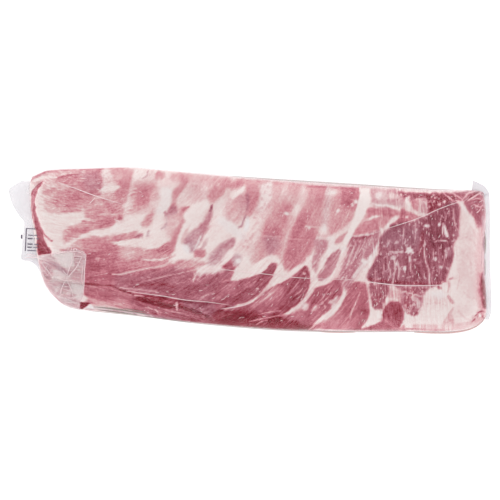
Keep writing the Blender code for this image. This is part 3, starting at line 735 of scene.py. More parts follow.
patch([(-66, -1), (-58, 2), (-53, -6), (-55, -11), (-64, -10)], 0.07, 2)
patch([(-67, -12.5), (-56, -12), (-48, -10.5), (-40, -12), (-38, -15.5), (-50, -18), (-62, -20)], 0.48, 2.4)
patch([(-13, -7), (-10, -11), (-11, -16), (-12.4, -22), (-16, -28), (-28, -31), (-44, -33), (-49, -30),
    (-40, -25.5), (-30, -21), (-25, -16), (-19, -12)], 0.8, 1.8)
patch([(-14, -4), (-8.6, -5), (-7, -10), (-9.6, -16), (-15, -12)], 0.48, 2, chill=0.7, shot=0.8)
patch([(-48, -17), (-38, -15.8), (-28, -16), (-23, -18.5), (-31, -21.5), (-40, -23.5), (-46, -22)], 0.14, 2.4)
strands([[(-46, -22), (-49, -27), (-49.5, -31)], [(-43, -23), (-43.5, -26), (-46, -29)], [(-38, -23),
    (-37, -26)], [(-33, -22), (-31, -24.5)]], (2.2, 1.2, 0.5), 0.26, 1.2)
strand([(-27, 25), (-16, 18), (-8, 12)], (6, 9, 7), 0.09, 3, chill=0.5)
strand([(-11, 19.8), (-8.6, 21.4), (-7.2, 25), (-6, 28.5), (-4.8, 31.5)], (1.4, 1.8, 1.4, 1.4, 0.8), 0.66, 1,
    chill=0.9)
strand([(-4.6, 18), (-3.4, 24), (-3, 29.5)], (4, 4, 2), 0.05, 1.4, chill=0.8)
print("laid", len(laid), "strokes")

# %% [markdown]
# Then come four broad lobes between the ribs: pale and rosy at the back edge, dark and wet at the front.
# Their back half is one rosy field with darker cores, so the field is laid first. Streaks of fat go on top.

# %% Lobes of the middle, back half
patch([(-8, 67), (40, 66), (97, 65), (95, 48), (91, 33), (80, 22), (66, 12), (58, 15), (55, 0), (45, -12),
    (34, -20), (27, -10), (14, -8), (8, -12), (0, -10), (3, 2), (8, 16), (6, 30), (2, 40), (-4, 56)], 0.43, 4)
strand([(-14, 62.2), (10, 61.4), (46, 60.4)], (2, 3, 2), 0.52, 2)
patch([(-5, 58), (3, 60), (6, 54), (5.4, 46), (4, 38), (1, 31), (-5, 29), (-8, 36), (-6.4, 46)], 0.52, 3)
patch([(-3.6, 54), (4, 55), (3.6, 42), (-1, 36), (-4.6, 42)], 0.6, 4)
strand([(-4.4, 50), (-3.8, 42), (-4.4, 35)], (1.6, 3.2, 1.6), 0.72, 2.2, chill=0.6)
strand([(31, 60), (28, 52), (25, 45)], (3, 3.4, 2), 0.24, 4)
patch([(27, 46), (35, 43), (35.6, 32), (32.5, 22), (30, 13), (22, 11), (15, 14), (17, 22), (21, 30),
    (24, 40)], 0.48, 5)
patch([(30, 42), (35, 40), (33.5, 30), (30.5, 22), (27, 26), (28, 36)], 0.58, 4)
patch([(12, 20), (22, 22), (28, 18), (29, 12), (20, 9.5), (12, 12)], 0.66, 4)
patch([(13, 12), (25, 12), (26, 3), (18, -4), (13, 2)], 0.62, 4, chill=0.5)
patch([(38, 34), (46, 37), (54, 30), (58, 16), (54, 0), (46, -10), (36, -16), (30, -8), (29, 2), (32, 12),
    (35, 24)], 0.55, 4)
patch([(38, 28), (46, 30), (50, 18), (46, 8), (36, 4), (34, 16)], 0.65, 5)
patch([(30, 8), (42, 10), (44, 0), (36, -8), (29, -4)], 0.66, 4)
patch([(46, 16), (57, 14), (56, 2), (48, -4), (44, 6)], 0.6, 4)
patch([(54, 57), (64, 57), (64, 46), (57, 44)], 0.5, 5)
patch([(74, 62), (96, 63), (95, 50), (93, 40), (84, 36), (75, 42), (74, 54)], 0.56, 3, shot=0.5)
patch([(81, 58), (95, 60), (94, 45), (86, 42), (80, 48)], 0.72, 4, shot=0.6)
strand([(48, 59.2), (64, 59.2), (80, 58.8), (97, 58.4)], (0.8, 1.6, 2.2, 1.6), 0.76, 1.4)
patch([(71, 42), (84, 42), (90, 34), (84, 26), (74, 19), (69, 20), (69, 30)], 0.48, 4)
strand([(74, 9), (81, 14), (87, 19)], (3, 7, 3), 0.46, 2.4)
patch([(58, 13), (69.5, 13), (70.5, 7), (67, 0), (63, -8), (60, -18), (56, -12), (57, 0)], 0.6, 2.2,
    chill=0.4, shot=0.6)
print("laid", len(laid), "strokes")

# %% Fat between the back lobes
patch([(7, 59), (16, 61), (18, 54), (17, 46), (13, 38), (8, 33), (5, 38), (7, 48)], 0.16, 2.6, chill=0.2)
patch([(6, 40), (13, 37), (11, 26), (8, 14), (2, 2), (-8, -4), (-14, 0), (-8, 10), (0, 20), (4, 30)], 0.22,
    3.4, shot=0.4)
for k, (x, y) in enumerate([
    (5, 24), (2, 14), (8, 18), (-3, 8), (4, 6), (10, 30), (-6, 3), (6, 34), (11, 52), (9, 46), (14, 57),
    (0, 11), (7, 57), (-7, 13), (3, 29), (6, 11), (12, 41), (16, 50), (9, 38), (-2, 2),
]):
    spot((x, y), (3.2, 1.5), 0.4, 1.2, 35 + 50 * k, 0.75)
strand([(46, 56), (44.5, 47), (41.5, 39), (38.4, 30), (34.8, 21), (32.4, 12), (30, 2), (28, -7), (25, -15)],
    (6, 7, 6, 3.2, 2.2, 2, 2.4, 2.6, 3), 0.26, 4)
strand([(41, 40), (38, 34)], (4, 3), 0.14, 3)
strand([(68, 58), (67.5, 46), (66.5, 34), (65.5, 22)], (4, 5, 5, 5), 0.38, 4, chill=0.3)
patch([(63, 24), (68.5, 25), (69.5, 19), (66, 16), (61, 18)], 0.18, 2.4)
patch([(67, 57), (78, 57.5), (77, 52.5), (68, 50.5)], 0.24, 3)
strand([(59.5, 13.4), (68, 13.2), (75, 15), (82, 19.4), (89, 26), (93, 32)], (1.2, 2, 2.8, 3.2, 4, 4), 0.18,
    1.8)
patch([(70, 14), (75, 15), (76, 8), (80, 3), (74, 0), (70, 4)], 0.14, 1.8, chill=0.3)
spots([(51.2, 22.6, 3.4, 3), (31.5, 34, 4.4, 3), (71.5, 2.5, 5, 4), (78, 4.5, 4, 3), (85, 4.6, 5, 4),
    (76.4, 38.6, 2.8, 2.4), (90, 44, 2.2, 2.2), (93, 47, 3, 3.4), (71, 54.5, 6, 2.4), (66, 21, 3.4, 3),
    (88, 17, 2, 3)], 0.07, 1.4, chill=0.4)
strand([(48, 23), (54, 23.4), (61, 22.6)], (0.5, 1, 0.5), 0.3, 0.9)
for line, tone in [
    ([(10, 13.4), (20, 13.2), (29, 12.6)], 0.3), ([(12, 14.8), (22, 14.6), (30, 14)], 0.74),
    ([(34, 11.6), (46, 11.2), (58, 11)], 0.36), ([(36, 12.8), (46, 12.6), (56, 12.4)], 0.74),
]:
    strand(line, (0.5, 0.9, 0.5), tone, 0.9, 0.45)
print("laid", len(laid), "strokes")

# %% Lobes of the middle, front half
patch([(22, -10.5), (25, -12), (23.5, -17), (21.5, -23), (18, -29.5), (12.5, -36), (6, -43), (-1, -46.5),
    (-9, -49), (-18, -52), (-30, -53), (-28, -33), (-18, -28.5), (-8, -26.3), (0, -24.3), (8, -21.5),
    (14, -18), (18, -12)], 0.87, 1.2, chill=0.2)
patch([(4, -22), (16, -17), (20, -22), (12, -33), (2, -42), (-4, -40), (0, -30)], 0.9, 4)
patch([(-25, -34), (-12, -30), (-6, -34), (-14, -42), (-25, -44)], 0.77, 5)
strand([(6, -28), (2, -32), (-4, -34)], (2, 3, 1), 0.6, 1.8)
# painted highlight: a small glint on the film
spot((7.5, -34.5), (3, 2), 0.22, 1, chill=0.4)
patch([(45, -16), (50, -12.5), (54, -16), (55, -24), (54, -32), (50.5, -39), (46, -45), (40, -50),
    (34, -54.5), (24, -58), (10, -59), (-4, -57), (-14, -53.5), (2, -47.6), (8, -43), (13, -38.6),
    (18, -34.2), (23, -30.8), (29, -28), (36, -24), (40, -20)], 0.86, 1.2, chill=0.1)
patch([(10, -42), (20, -35), (28, -31), (30, -37), (22, -45), (12, -50), (4, -50)], 0.68, 4)
patch([(36, -26), (50, -16), (54, -26), (49, -38), (42, -46), (36, -44), (34, -34)], 0.92, 4, chill=0.2)
strand([(20, -38), (16, -42), (10, -46.5)], (0.8, 1.6, 0.8), 0.3, 1)
strand([(48, -33), (45, -36.5), (42, -38.5)], (0.6, 1.2, 0.6), 0.34, 0.9)
spot((49, -19.4), (2.4, 2.2), 0.16, 0.9)
patch([(60, -31), (66, -29.4), (72, -27), (78, -23), (84, -21), (85, -30), (83.5, -36), (81, -42),
    (76, -48.5), (70.5, -53.5), (65, -58), (58, -65), (50, -69), (34, -69), (32, -59), (39, -55.5),
    (45, -51.5), (50, -46.5), (53, -41), (56.5, -35.5)], 0.82, 1.6, chill=0.1)
patch([(66, -32), (78, -26), (83, -32), (80, -41), (72, -44), (66, -40)], 0.86, 4)
patch([(58, -42), (70, -41), (74, -46), (66, -53), (58, -50)], 0.9, 3, shot=0.7)
patch([(49, -43.5), (54, -46), (53.5, -51), (48, -51)], 0.34, 1.6, chill=0.3, shot=0.6)
spot((59.5, -50), (3.4, 8), 0.24, 1.8, -28)
patch([(30, -60), (48, -60), (58, -64), (84, -66), (104, -63), (140, -63), (140, -68), (60, -72), (30, -71)],
    0.84, 4)
# the lean along the front edge is laid darker still: its own dark red, with painted shade on top
patch([(-28, -56), (-12, -54), (4, -54.5), (18, -56.4), (32, -59), (44, -62), (58, -65.4), (76, -69),
    (60, -75), (0, -75), (-30, -70)], 1.1, 3, 0.9, chill=0)
spots([(-4, -60, 20, 5), (22, -61, 16, 5), (-18, -62, 10, 4), (40, -63, 10, 3)], 1.18, 3, 4)
strands([[(10, -57.5), (16, -55.6), (24, -54), (31, -53)], [(2, -64), (10, -62), (22, -59), (34, -56.3)],
    [(8, -67), (13, -63.5), (18, -62)]], (0.6, 1.1, 0.8), 0.46, 0.9)
patch([(72, -1), (80, 4), (80, -4), (77, -12), (73, -20), (66, -25.5), (61, -22), (66, -12), (69, -5)], 0.58,
    1.4, chill=0.35)
patch([(80, -20), (84, -15), (95, -16), (94, -24), (90, -31), (86, -32), (82, -27)], 0.58, 1.6, chill=0.3,
    shot=1)
print("laid", len(laid), "strokes")

# %% Fat between the front lobes
patch([(-16, -28), (-5, -25.8), (5, -22.8), (13, -18.2), (18, -11.5), (23, -9), (25.5, -13), (23.5, -21),
    (22, -26), (26, -28), (31, -26.5), (40, -20.5), (47, -13.5), (50, -10), (43, -13), (34, -18), (28, -12),
    (24, -4), (16, -5), (6, -12), (-8, -13), (-14, -20)], 0.12, 1.3)
strand([(-10, -10), (2, -16), (12, -12), (20, -6)], (4, 6, 6, 4), 0.14, 2.5)
for line, widths in [
    ([(-20, -54.3), (-8, -50.4), (-1, -48), (4.5, -45), (10, -40), (14.5, -35.3), (18.5, -31), (22.5, -26),
     (25.5, -19), (27, -12)], (0.7, 1.2, 1.6, 1.8, 1.8, 2.2, 3.2, 5, 5.5, 4.5)),
    ([(52, -5), (54.5, -14), (56.5, -22), (57.5, -27), (56, -33), (53, -39), (49, -45), (44, -50),
     (39, -53.6), (34, -56)], (4, 3, 3.2, 4.6, 4.2, 3.2, 2.8, 2.4, 1.8, 0.8)),
    ([(86, 4), (82, -6), (79, -14), (74, -22), (67, -26.5), (59, -28)], (5, 4, 3.6, 4.4, 4.6, 4)),
    ([(85.5, -31), (84.6, -38), (80.5, -45), (75.5, -51), (70, -56), (65, -60.5), (60, -65)],
     (1.6, 2.4, 3.2, 3, 2.6, 2, 1.2)),
]:
    strand(line, np.array(widths) * 0.88, 0.17, 1.6)
strand([(60, -66), (56, -69)], (1.4, 0.8), 0.3, 1)
for x, y in [(78, -42), (76.5, -44.5), (79, -39.5), (74.5, -43), (77, -47), (51, -47), (49.6, -49.4)]:
    spot((x, y), (3, 2), 0.18, 1.8, 50, 0.85, chill=0.5)
# painted highlights: thin pale streaks across the lobes, where the film over them catches the light
for x, y, long, turn in [
    (67, -38, 26, 52), (64, -45, 16, 54), (74, -36, 14, 52), (62, -56, 12, 50), (71, -30, 8, 40),
    (29, -42, 12, 58), (40, -33, 10, 58), (24, -35, 12, 48), (44, -27, 8, 60), (-8, -38, 14, 35),
    (0, -29, 12, 34), (8, -24, 8, 32), (91, -44, 20, 74), (96, -38, 16, 78), (101, -46, 18, 82),
    (94, -55, 12, 70), (87, -58, 10, 55), (80, -62, 12, 30),
]:
    dx, dy = long / 2 * math.cos(math.radians(turn)), long / 2 * math.sin(math.radians(turn))
    strand([(x - dx, y - dy), (x + 0.06 * dy, y - 0.06 * dx), (x + dx, y + dy)], (0.5, 1.1, 0.5), 0.46, 1.2,
        0.75)
print("laid", len(laid), "strokes")

# %% [markdown]
# At the broad end one thick muscle lies over the ribs. It is darker and more purple than the rest, and fine
# fat is shot through it. A white band of fat and a patch of gristle part it from the lobes, and a wide field
# of fat closes the end.

# %% Broad end: lean beside the big muscle
patch([(90, 15), (100, 17), (108, 20), (116, 24), (115, 12), (112, 3), (106, -6), (99, -16), (92, -22),
    (84, -21), (83, -12), (86, -2), (88, 6)], 0.6, 1.6, chill=0.45, shot=0.8)
patch([(84, -21), (85, -6), (92, -2), (96, -14), (92, -22)], 0.68, 3, chill=0.4)
strand([(91, 14), (100, 15), (110, 18)], (2, 3.6, 2), 0.84, 1.8, chill=0.3)
patch([(89, 12), (98, 13), (97, 4), (89, 2)], 0.74, 4, chill=0.4)
for x, y in [(99, 8), (104, 4), (94, 6), (109, 13), (90, -6), (96, 0), (106, 9)]:
    strand([(x, y + 6), (x - 1.5, y), (x - 3.5, y - 7)], (0.7, 1.5, 0.7), 0.36, 1.4)
strand([(115.5, 13), (113, 6), (109, -2), (103, -9), (98.6, -15), (95.4, -20)], (2, 3, 3.6, 4, 5, 6), 0.2,
    1.6, shot=0.6)
for x, y in [(104, -6.5), (108, -3), (101, -5), (103, -13)]:
    spot((x, y), (4.4, 3), 0.06, 1.4, 20, chill=0.4)
patch([(97, 65), (106.5, 65), (105.5, 50), (104.5, 44), (101.5, 36), (97, 28), (93.5, 21), (90, 15), (86, 8),
    (83, 12), (88, 24), (92, 33), (94, 43), (96, 54)], 0.07, 1.2)
patch([(106.5, 62), (116, 62), (132, 62), (134, 54), (136, 50), (135, 44), (130, 43.5), (118, 43), (108, 44),
    (106, 52)], 0.48, 1.6, chill=0.35)
spot((113, 53.6), (7, 7), 0.16, 1.8, 70, chill=0.4)
spot((125.6, 53.4), (9, 5.4), 0.22, 1.8, chill=0.1)
strand([(108, 46), (114, 44.6), (122, 43.6), (129, 42.4)], (1.4, 2.8, 5.4, 3), 0.12, 1.6)
patch([(104, 42), (112, 43.5), (125, 43), (131, 41), (131.5, 36.6), (128, 35), (124, 31), (120.4, 27),
    (114, 22), (98, 17.6), (92, 16.4), (96, 25), (101, 33)], 0.56, 1.6)
strand([(105, 39), (113, 39), (121, 38), (126, 36)], (4, 5, 5, 3), 0.66, 2)
strand([(105, 31.5), (109, 34), (115, 35.4)], (1.4, 3.4, 1.2), 0.14, 1.3)
strand([(99, 29), (104, 32)], (1, 1.6), 0.3, 1.2)
strand([(90, 16.8), (97, 17), (104, 17.8), (112, 20)], (0.8, 1.1, 1, 0.6), 0.16, 1, chill=0.6)
patch([(133, 42), (138, 42.5), (144, 40), (152, 36.6), (146, 33), (136, 29), (127, 26.5), (125.6, 28.5),
    (132, 34.6)], 0.68, 1.4, shot=0.5)
spot((139, 35), (2.6, 2), 0.16, 1.2)
patch([(93, -25), (104, -25), (107, -32), (109, -42), (110, -50), (108, -58), (104, -63), (96, -66),
    (80, -68), (62, -68), (69, -61), (76, -55.5), (81.5, -49), (85.5, -42), (87.5, -36), (88.5, -30)], 0.73,
    1.6)
patch([(97, -30), (105, -32), (109, -46), (106, -60), (99, -64), (97, -50)], 0.8, 4)
patch([(88, -46), (93, -40), (94, -52), (88, -56), (82, -56)], 0.8, 3)
spot((103, -50), (10, 5), 0.94, 4)
patch([(74, -64), (84, -56), (90, -60), (84, -67)], 0.64, 3)
strand([(92, -57), (93.5, -50), (97, -42), (100, -33)], (1.2, 1.8, 1.2, 0.8), 0.38, 1)
print("laid", len(laid), "strokes")

# %% Broad end: the big muscle
patch([(150, 34), (140, 31), (131, 29.5), (125, 28), (121, 23), (117.5, 18), (115.5, 12), (116, 5),
    (114.6, -1), (111, -7), (107, -14), (105.5, -22), (115, -25.5), (130, -26.5), (150, -27), (165, -26),
    (173.5, -22), (176, -17), (178, -11), (180.5, -4), (182, 3), (181, 10), (182.5, 14.4), (185.6, 19),
    (185.2, 28), (185, 36), (186.2, 44), (183.5, 50), (176, 51), (168, 45), (158, 38)], 0.9, 1.6, chill=0.6,
    shot=0.8)
strand([(183.6, 48), (184, 40), (183.4, 30), (183.6, 22)], (2, 3, 3, 2), 0.66, 2, 0.8, shot=1)
patch([(156, 36), (170, 44), (184, 46), (184, 30), (176, 10), (178, 0), (172, -18), (150, -20), (146, -8),
    (153, 8), (156, 24)], 0.96, 6, chill=0.55)
patch([(156, 34), (170, 41), (178, 36), (176, 14), (164, 8), (156, 18)], 1.02, 5, chill=0.6)
patch([(120, 20), (132, 25), (150, 25), (152, 12), (140, 7), (126, 7), (118, 12)], 0.84, 4, chill=0.85)
strand([(153.5, 22), (153, 12), (153.5, 2)], (2, 4, 2), 1, 2, chill=0.3)
strand([(107, -21.5), (125, -23), (145, -23.6), (165, -23), (176, -20.6)], (1.6, 2.4, 2, 1.4, 1), 1.02, 1.4,
    chill=0.1)
patch([(131, 57.5), (150, 58), (175, 58), (200, 61), (202, 57), (190, 52), (178, 52), (168, 46), (160, 40),
    (156.5, 41), (157, 51), (148, 52), (142, 50), (134, 52)], 0.92, 1.3, chill=0.2, shot=0.9)
patch([(157, 56), (182, 57), (182, 53), (174, 48), (162, 41), (157, 44)], 1.02, 2.5, shot=0.9)
patch([(142.6, 51), (149.4, 51.6), (150, 46), (148.4, 41.4), (145, 41.6), (142.6, 46)], 0.6, 1.6, shot=0.6)
patch([(150.4, 52), (156.2, 51.4), (157, 44), (156, 39), (151, 38.6), (149.6, 44)], 0.46, 2, chill=0.3,
    shot=0.8)
strand([(140, 53), (137.5, 48.5), (138.6, 43.5), (144, 41), (150, 38), (158, 38.6)],
    (2.4, 4.4, 4, 2.6, 2.4, 1.2), 0.22, 1.6)
strand([(138.4, 51.5), (139.6, 47.5)], (2.4, 2.4), 0.14, 1.4)
strand([(133, 54.4), (134.4, 50.6), (134, 46)], (2.5, 2.5, 1), 0.56, 1.4)
spots([(167, 47.6, 3.6, 3), (159.5, 50.5, 2, 2), (163.5, 53.5, 1.8, 1.8), (172, 50.5, 2, 1.8),
    (177, 53, 2.4, 1.6), (159, 45.5, 1.6, 2)], 0.36, 1.2)
strand([(171, 58), (176, 54.4), (180.6, 50.6)], (0.7, 1.3, 0.8), 0.32, 1)
strand([(178, 59), (184, 55.6), (188, 53)], (0.8, 1.6, 1), 0.3, 1)
patch([(107, -26.5), (115, -26), (124.6, -26.5), (125.8, -33), (124, -38), (121.6, -42), (120.6, -48),
    (116, -49), (111.4, -46), (109, -37)], 0.84, 1.4, chill=0.35, shot=0.9)
patch([(112, -36), (120, -34), (119, -46), (113.6, -45)], 0.92, 3, chill=0.1)
patch([(132, -27), (146, -26), (161, -26), (160, -31), (156.5, -34), (157, -41), (153.4, -47), (152, -53.5),
    (147, -53), (142, -49), (137.6, -44), (137.6, -37), (137, -31)], 0.7, 2, chill=0.4, shot=0.9)
patch([(138.6, -29), (147, -28), (149, -33), (146, -38), (141, -40), (140, -34)], 0.84, 2.4, chill=0.2,
    shot=1)
strand([(139, -29.5), (148, -29.6), (158, -29)], (2, 3.4, 2), 0.88, 1.4, shot=0.8)
strand([(141, -37), (142, -43), (144.5, -49)], (3, 5, 3), 0.9, 1.6, chill=0.1, shot=0.8)
strand([(147.5, -50.5), (152, -51.5)], (3, 3.4), 0.92, 1.4)
strand([(135, -31), (145, -32.8), (157, -35.6)], (0.6, 1.2, 0.8), 0.3, 0.9)
strand([(148, -37), (152, -40), (153, -45)], (2.4, 3, 2), 0.38, 2, chill=0.5, shot=1)
for k in range(12):
    spot((140 + 1.4 * k, -34 - 17 * ((0.618 * k) % 1)), (3.6, 1.6), 0.9 - 0.55 * (k % 2), 1.2, 70 + 30 * k,
         0.9, chill=0.2)
patch([(127, -28.6), (133, -30), (137.6, -33), (138, -37.6), (129, -37.6), (124.6, -35.6), (126, -32)], 0.38,
    2.4, shot=0.6)
patch([(111, -46.5), (114.5, -49), (119.5, -49), (120.4, -54), (119.4, -58.4), (113, -62), (106, -65.4),
    (103, -65), (107, -59), (110, -52)], 0.1, 1.6)
patch([(121.5, -49), (124, -44), (128.5, -40.6), (133.5, -40.6), (138, -44), (140.3, -50), (140, -57),
    (137, -63), (130, -66.4), (110, -66.6), (104, -66.5), (114, -62.5), (120.4, -58), (121, -53)], 0.83, 1.2,
    chill=0, shot=0)
spot((130, -49), (15, 14), 0.92, 6)
strand([(118, -57), (124, -58), (130, -62)], (1, 3, 2), 0.62, 2)
strand([(137.6, -43.4), (140.8, -50), (140.6, -57), (138, -62)], (0.8, 1.2, 1.2, 0.8), 0.26, 1, chill=0.6)
print("laid", len(laid), "strokes")

# %% Broad end: flecks of fat, and the end's own fat
for x, y, wide, high, tone in [
    (142.2, 5.6, 5, 5.6, 0.04), (145.6, 4.4, 4, 1.8, 0.14), (139.6, 4.2, 4, 1.6, 0.16),
    (139.4, 10, 3, 1.6, 0.3), (173, 15.4, 5, 2.2, 0.14), (168.4, 29.6, 2.4, 2.8, 0.16),
    (157, 28.2, 5, 3, 0.22), (131, 3.4, 12, 2.2, 0.34), (128.5, -1.5, 4, 4, 0.34), (171, -8.4, 4.2, 3, 0.4),
    (166.4, -1, 2, 3, 0.22), (139, -10.5, 3, 5, 0.24), (143, -2, 2, 5, 0.32), (132, -6, 2, 5, 0.36),
    (148, -2.5, 3, 1.6, 0.36), (130, 12, 4, 3, 0.42), (156, 12, 2, 3, 0.34), (163, 18, 2, 2, 0.36),
    (177, 6, 6, 8, 0.72), (178, 9, 2, 2, 0.36), (175, 3, 2, 2, 0.4), (124, 13, 3, 3, 0.5),
    (148, 24.5, 2, 2, 0.4), (164, 16.4, 2, 2, 0.3), (181, 21, 2, 2, 0.36),
]:
    spot((x, y), (wide, high), tone, 1.2, chill=0.7)
strands([[(141, 6), (139, 10), (137, 12)], [(142, 7), (143.6, 10.4)], [(143, 4), (147, 1.6)], [(141.6, 4),
    (140.4, 0.6)], [(144, 6.4), (147.6, 7.4)]], (1.6, 1, 0.5), 0.22, 1, 0.9, chill=0.6)
strand([(172.4, 31), (173.4, 26), (174.8, 21.5), (175.6, 19.6)], (1.2, 2.2, 3.4, 2.4), 0.08, 1, chill=0.5)
strand([(171.4, 31), (171.2, 25), (172, 19.5)], (0.7, 1.2, 0.7), 0.24, 0.9, chill=0.4)
for line, widths in [
    ([(123, 0), (124, -8), (126, -15), (125, -22)], (0.7, 1.3, 0.7)),
    ([(129.5, -4), (130.4, -12), (129, -22), (127, -30), (124.5, -37)], (0.8, 1.4, 1.2, 1.6, 0.8)),
    ([(133.4, -6), (134, -14), (133, -21)], (0.7, 1.2, 0.7)),
    ([(119, -4), (120, -12), (119, -19)], (0.6, 1.1, 0.6)),
    ([(144.4, -4), (144, -11), (146.4, -15)], (0.8, 1.5, 1)),
    ([(113, -10), (112.4, -16), (113, -21)], (0.6, 1, 0.6)),
    ([(155.4, 15), (155.8, 4), (158, -5), (160.6, -12), (161.6, -22), (163.4, -31)],
     (0.9, 1.2, 1.6, 1.8, 1.6, 1)),
    ([(163.4, 8), (164, 1), (163.6, -4)], (0.6, 1, 0.6)),
    ([(163.6, -11), (164, -20), (166, -31)], (0.6, 1.1, 0.7)),
    ([(180.4, 45), (181, 36), (183.4, 28), (187, 22)], (0.9, 1.5, 1.1, 0.7)),
    ([(173, 41), (173.6, 36), (173, 33)], (0.7, 1.2, 0.7)),
    ([(164.6, 14), (168, 15.6), (172, 15.4)], (0.6, 1.2, 0.8)),
    ([(169, 9), (169.6, -2), (170, -14)], (0.5, 0.9, 0.5)),
    ([(174.4, 8), (174, 0), (173, -9)], (0.5, 0.9, 0.5)),
    ([(147, 30), (147.6, 22), (147, 15)], (0.5, 0.9, 0.5)),
    ([(137, 28), (136.4, 20), (137, 15)], (0.5, 0.9, 0.5)), ([(170, 38), (169, 34)], (0.6, 0.8)),
    ([(176, 44), (177, 38)], (0.6, 0.8)),
]:
    strand(line, widths, 0.33, 1, 0.9, chill=0.4)
patch([(188, 51), (193, 47), (198, 41), (203, 33), (206, 25), (208, 0), (209, -30), (210, -44), (204, -60),
    (180, -66), (146, -67), (142, -60), (146, -54), (155, -50), (157, -38), (161, -29), (174, -25),
    (180, -12), (184, 2), (184, 14), (189, 22), (189, 44)], 0.13, 1.6, chill=0.1)
patch([(188, 24), (200, 24), (204, 10), (205, -24), (198, -34), (188, -24), (185, 0)], 0.19, 6)
patch([(204, 24), (209, 20), (210, -10), (207, -40), (204, -30), (205, 0)], 0.28, 3)
spot((190.5, 47), (7, 12), 0.09, 3, 30, chill=0.4)
spot((170, -33), (12, 6), 0.05, 3, chill=0.6)
patch([(187, 61), (200, 63), (208, 60), (209.8, 50), (209.8, 38), (209, 30), (207, 22), (204.6, 26),
    (201.6, 29), (199.4, 36), (195, 41.5), (191, 46), (188.6, 51)], 0.76, 1.6, chill=0.3, shot=0.6)
patch([(192, 53), (204, 55), (208, 44), (207, 33), (202, 38), (196, 45)], 0.84, 3, chill=0.3, shot=0.6)
strand([(188, 57.5), (194, 58.5), (200, 60.5), (206, 59)], (2, 4, 5, 3), 0.88, 1.4)
strand([(193, 54.5), (199, 58.5), (204, 62)], (1.2, 2, 1), 1.06, 0.9)
strand([(193, 52.4), (199, 56.5), (205, 60.5)], (1, 1.4, 0.8), 0.26, 0.9)
strands([[(187, 51), (190, 55.4), (193, 59), (195, 61.4)], [(196, 53), (202, 54.6), (207, 53)], [(191, 58),
    (196, 60), (203, 63)], [(198, 49), (204, 47), (207, 49)], [(202, 42), (205, 46)]], (0.7, 1.2, 0.7), 0.3,
    1, 0.9)
strand([(207, 38), (209, 28), (210.4, 20)], (3, 3, 3.4), 0.54, 1.4, chill=0.8)
strand([(205.4, 28), (205.4, 10), (205.4, -12), (207.4, -34)], (4, 5, 5, 3), 0.34, 3)
strand([(207.6, -14), (208.4, -28), (210, -42)], (5, 8, 6), 0.62, 3, 0.7)
strand([(209.4, -13), (209.8, -21), (211, -30), (213, -42)], (3, 6, 7, 4), 1.14, 1.8, chill=0)
spots([(210.4, -18, 3, 4), (210, -26, 7, 3.4), (212, -31, 4, 7), (213.4, -37, 2.6, 6), (208, -22, 3, 2),
    (207.6, -28.4, 3, 2)], 1.16, 1.6, 20)
for x, y in [(209, -23.5), (211.4, -24.4), (209, -30), (210.6, -34)]:
    spot((x, y), (1.6, 2), 0.72, 1)
strand([(209.6, 20), (209.6, 14), (209.8, 8.6)], (2, 3, 2), 1.16, 1, chill=1, sunk=0.3)
strand([(210.6, 20), (211, 4), (211, -6), (210.6, -16)], (2.4, 3, 3.2, 3.6), 0.68, 1.4, chill=0.9)
strand([(208, 24), (207.6, 4), (207.4, -10)], (0.8, 1, 0.8), 0.56, 0.9, chill=0.8)
patch([(199, -58), (203, -50), (206, -46), (213, -45.5), (214, -50), (209, -57)], 0.4, 2.4, shot=0.5)
for line, wide in [
    ([(200.4, -57), (202.6, -54.4), (204, -53)], 1.4), ([(209, -48.6), (210.6, -50.6), (212.4, -53)], 1.6),
    ([(205.4, -48), (209, -46.2), (213, -46.6)], 1.6), ([(206, -51), (207.6, -49.4)], 1.2),
    ([(203.6, -50.6), (205.4, -49)], 1),
]:
    strand(line, (0.7, wide, 0.7), 1.02, 0.9)
spot((208.4, -50), (2.6, 2), 0.1, 1, chill=0.5)
patch([(183.6, -43.6), (180.6, -48), (178, -52), (175.6, -57), (175, -64.5), (184.6, -64.5), (184.6, -55),
    (183, -49)], 0.38, 1.2)
strands([[(179, -18.4), (182, -17.6), (185, -17.4)], [(178.6, -20), (179, -25), (178.4, -30)], [(168, -26),
    (172, -26.6)], [(179, -33), (181.6, -36.4), (184.6, -39.4)], [(178, -34), (182, -39), (185, -40)]],
    (0.8, 1.6, 0.8), 0.46, 1.2, 0.9)
spot((170.4, -26.6), (5, 2), 0.72, 1.2)
for x, y, wide, high, turn in [
    (196, 21, 16, 8, 12), (191, -6, 7, 26, 0), (202, -28, 9, 24, 8), (190, 35, 5, 16, 0),
    (197, 5, 12, 7, -20), (166, -40, 20, 9, 20), (192, -46, 12, 10, 30),
]:
    spot((x, y), (wide, high), 0.28, 5, turn, 0.6)
strands([[(187, 17), (193, 19), (199, 16), (203, 9)], [(189, 7), (194, 3), (198, -5), (198, -14)],
    [(192, -29), (198, -34), (205, -35)], [(188, -46), (194, -52), (200, -55)], [(195, 31), (199, 25),
    (202, 18)], [(160, -42), (170, -40), (178, -43)], [(186, -8), (188, -18), (186, -28)]], (0.5, 0.9, 0.5),
    0.36, 1, 0.8)
for line, widths, tone in [
    ([(150, -62), (166, -62.6), (184, -62), (198, -58)], (4, 6, 7, 4), 0.3),
    ([(138, -64.6), (152, -64.8), (168, -65), (182, -64)], (1, 1.6, 1.8, 1), 0.8),
]:
    strand(line, widths, tone, 1.4)
strand([(132, -64.6), (145, -64.4), (165, -65), (195, -62.6)], (1, 1.6, 1.2, 1), 0.54, 1)
strand([(176, -61), (190, -60.6), (202, -58)], (5, 6, 5), 0.3, 3)
strand([(60, -68.6), (90, -69), (130, -68.6), (170, -66.8), (196, -63.8)], (1, 1.6, 2, 1.6, 1.2), 0.1, 1,
    chill=0.5)
strand([(-60, 66.8), (0, 65), (60, 62.4), (100, 61.6), (140, 60.8), (170, 60.6), (190, 61.4)],
    (1, 2.2, 3.6, 4, 3.6, 3, 2), 0.28, 1.4, chill=0.4)
lean_share = ease((red - 0.25) / 0.25) * ease((1.0 - red) / 0.1)
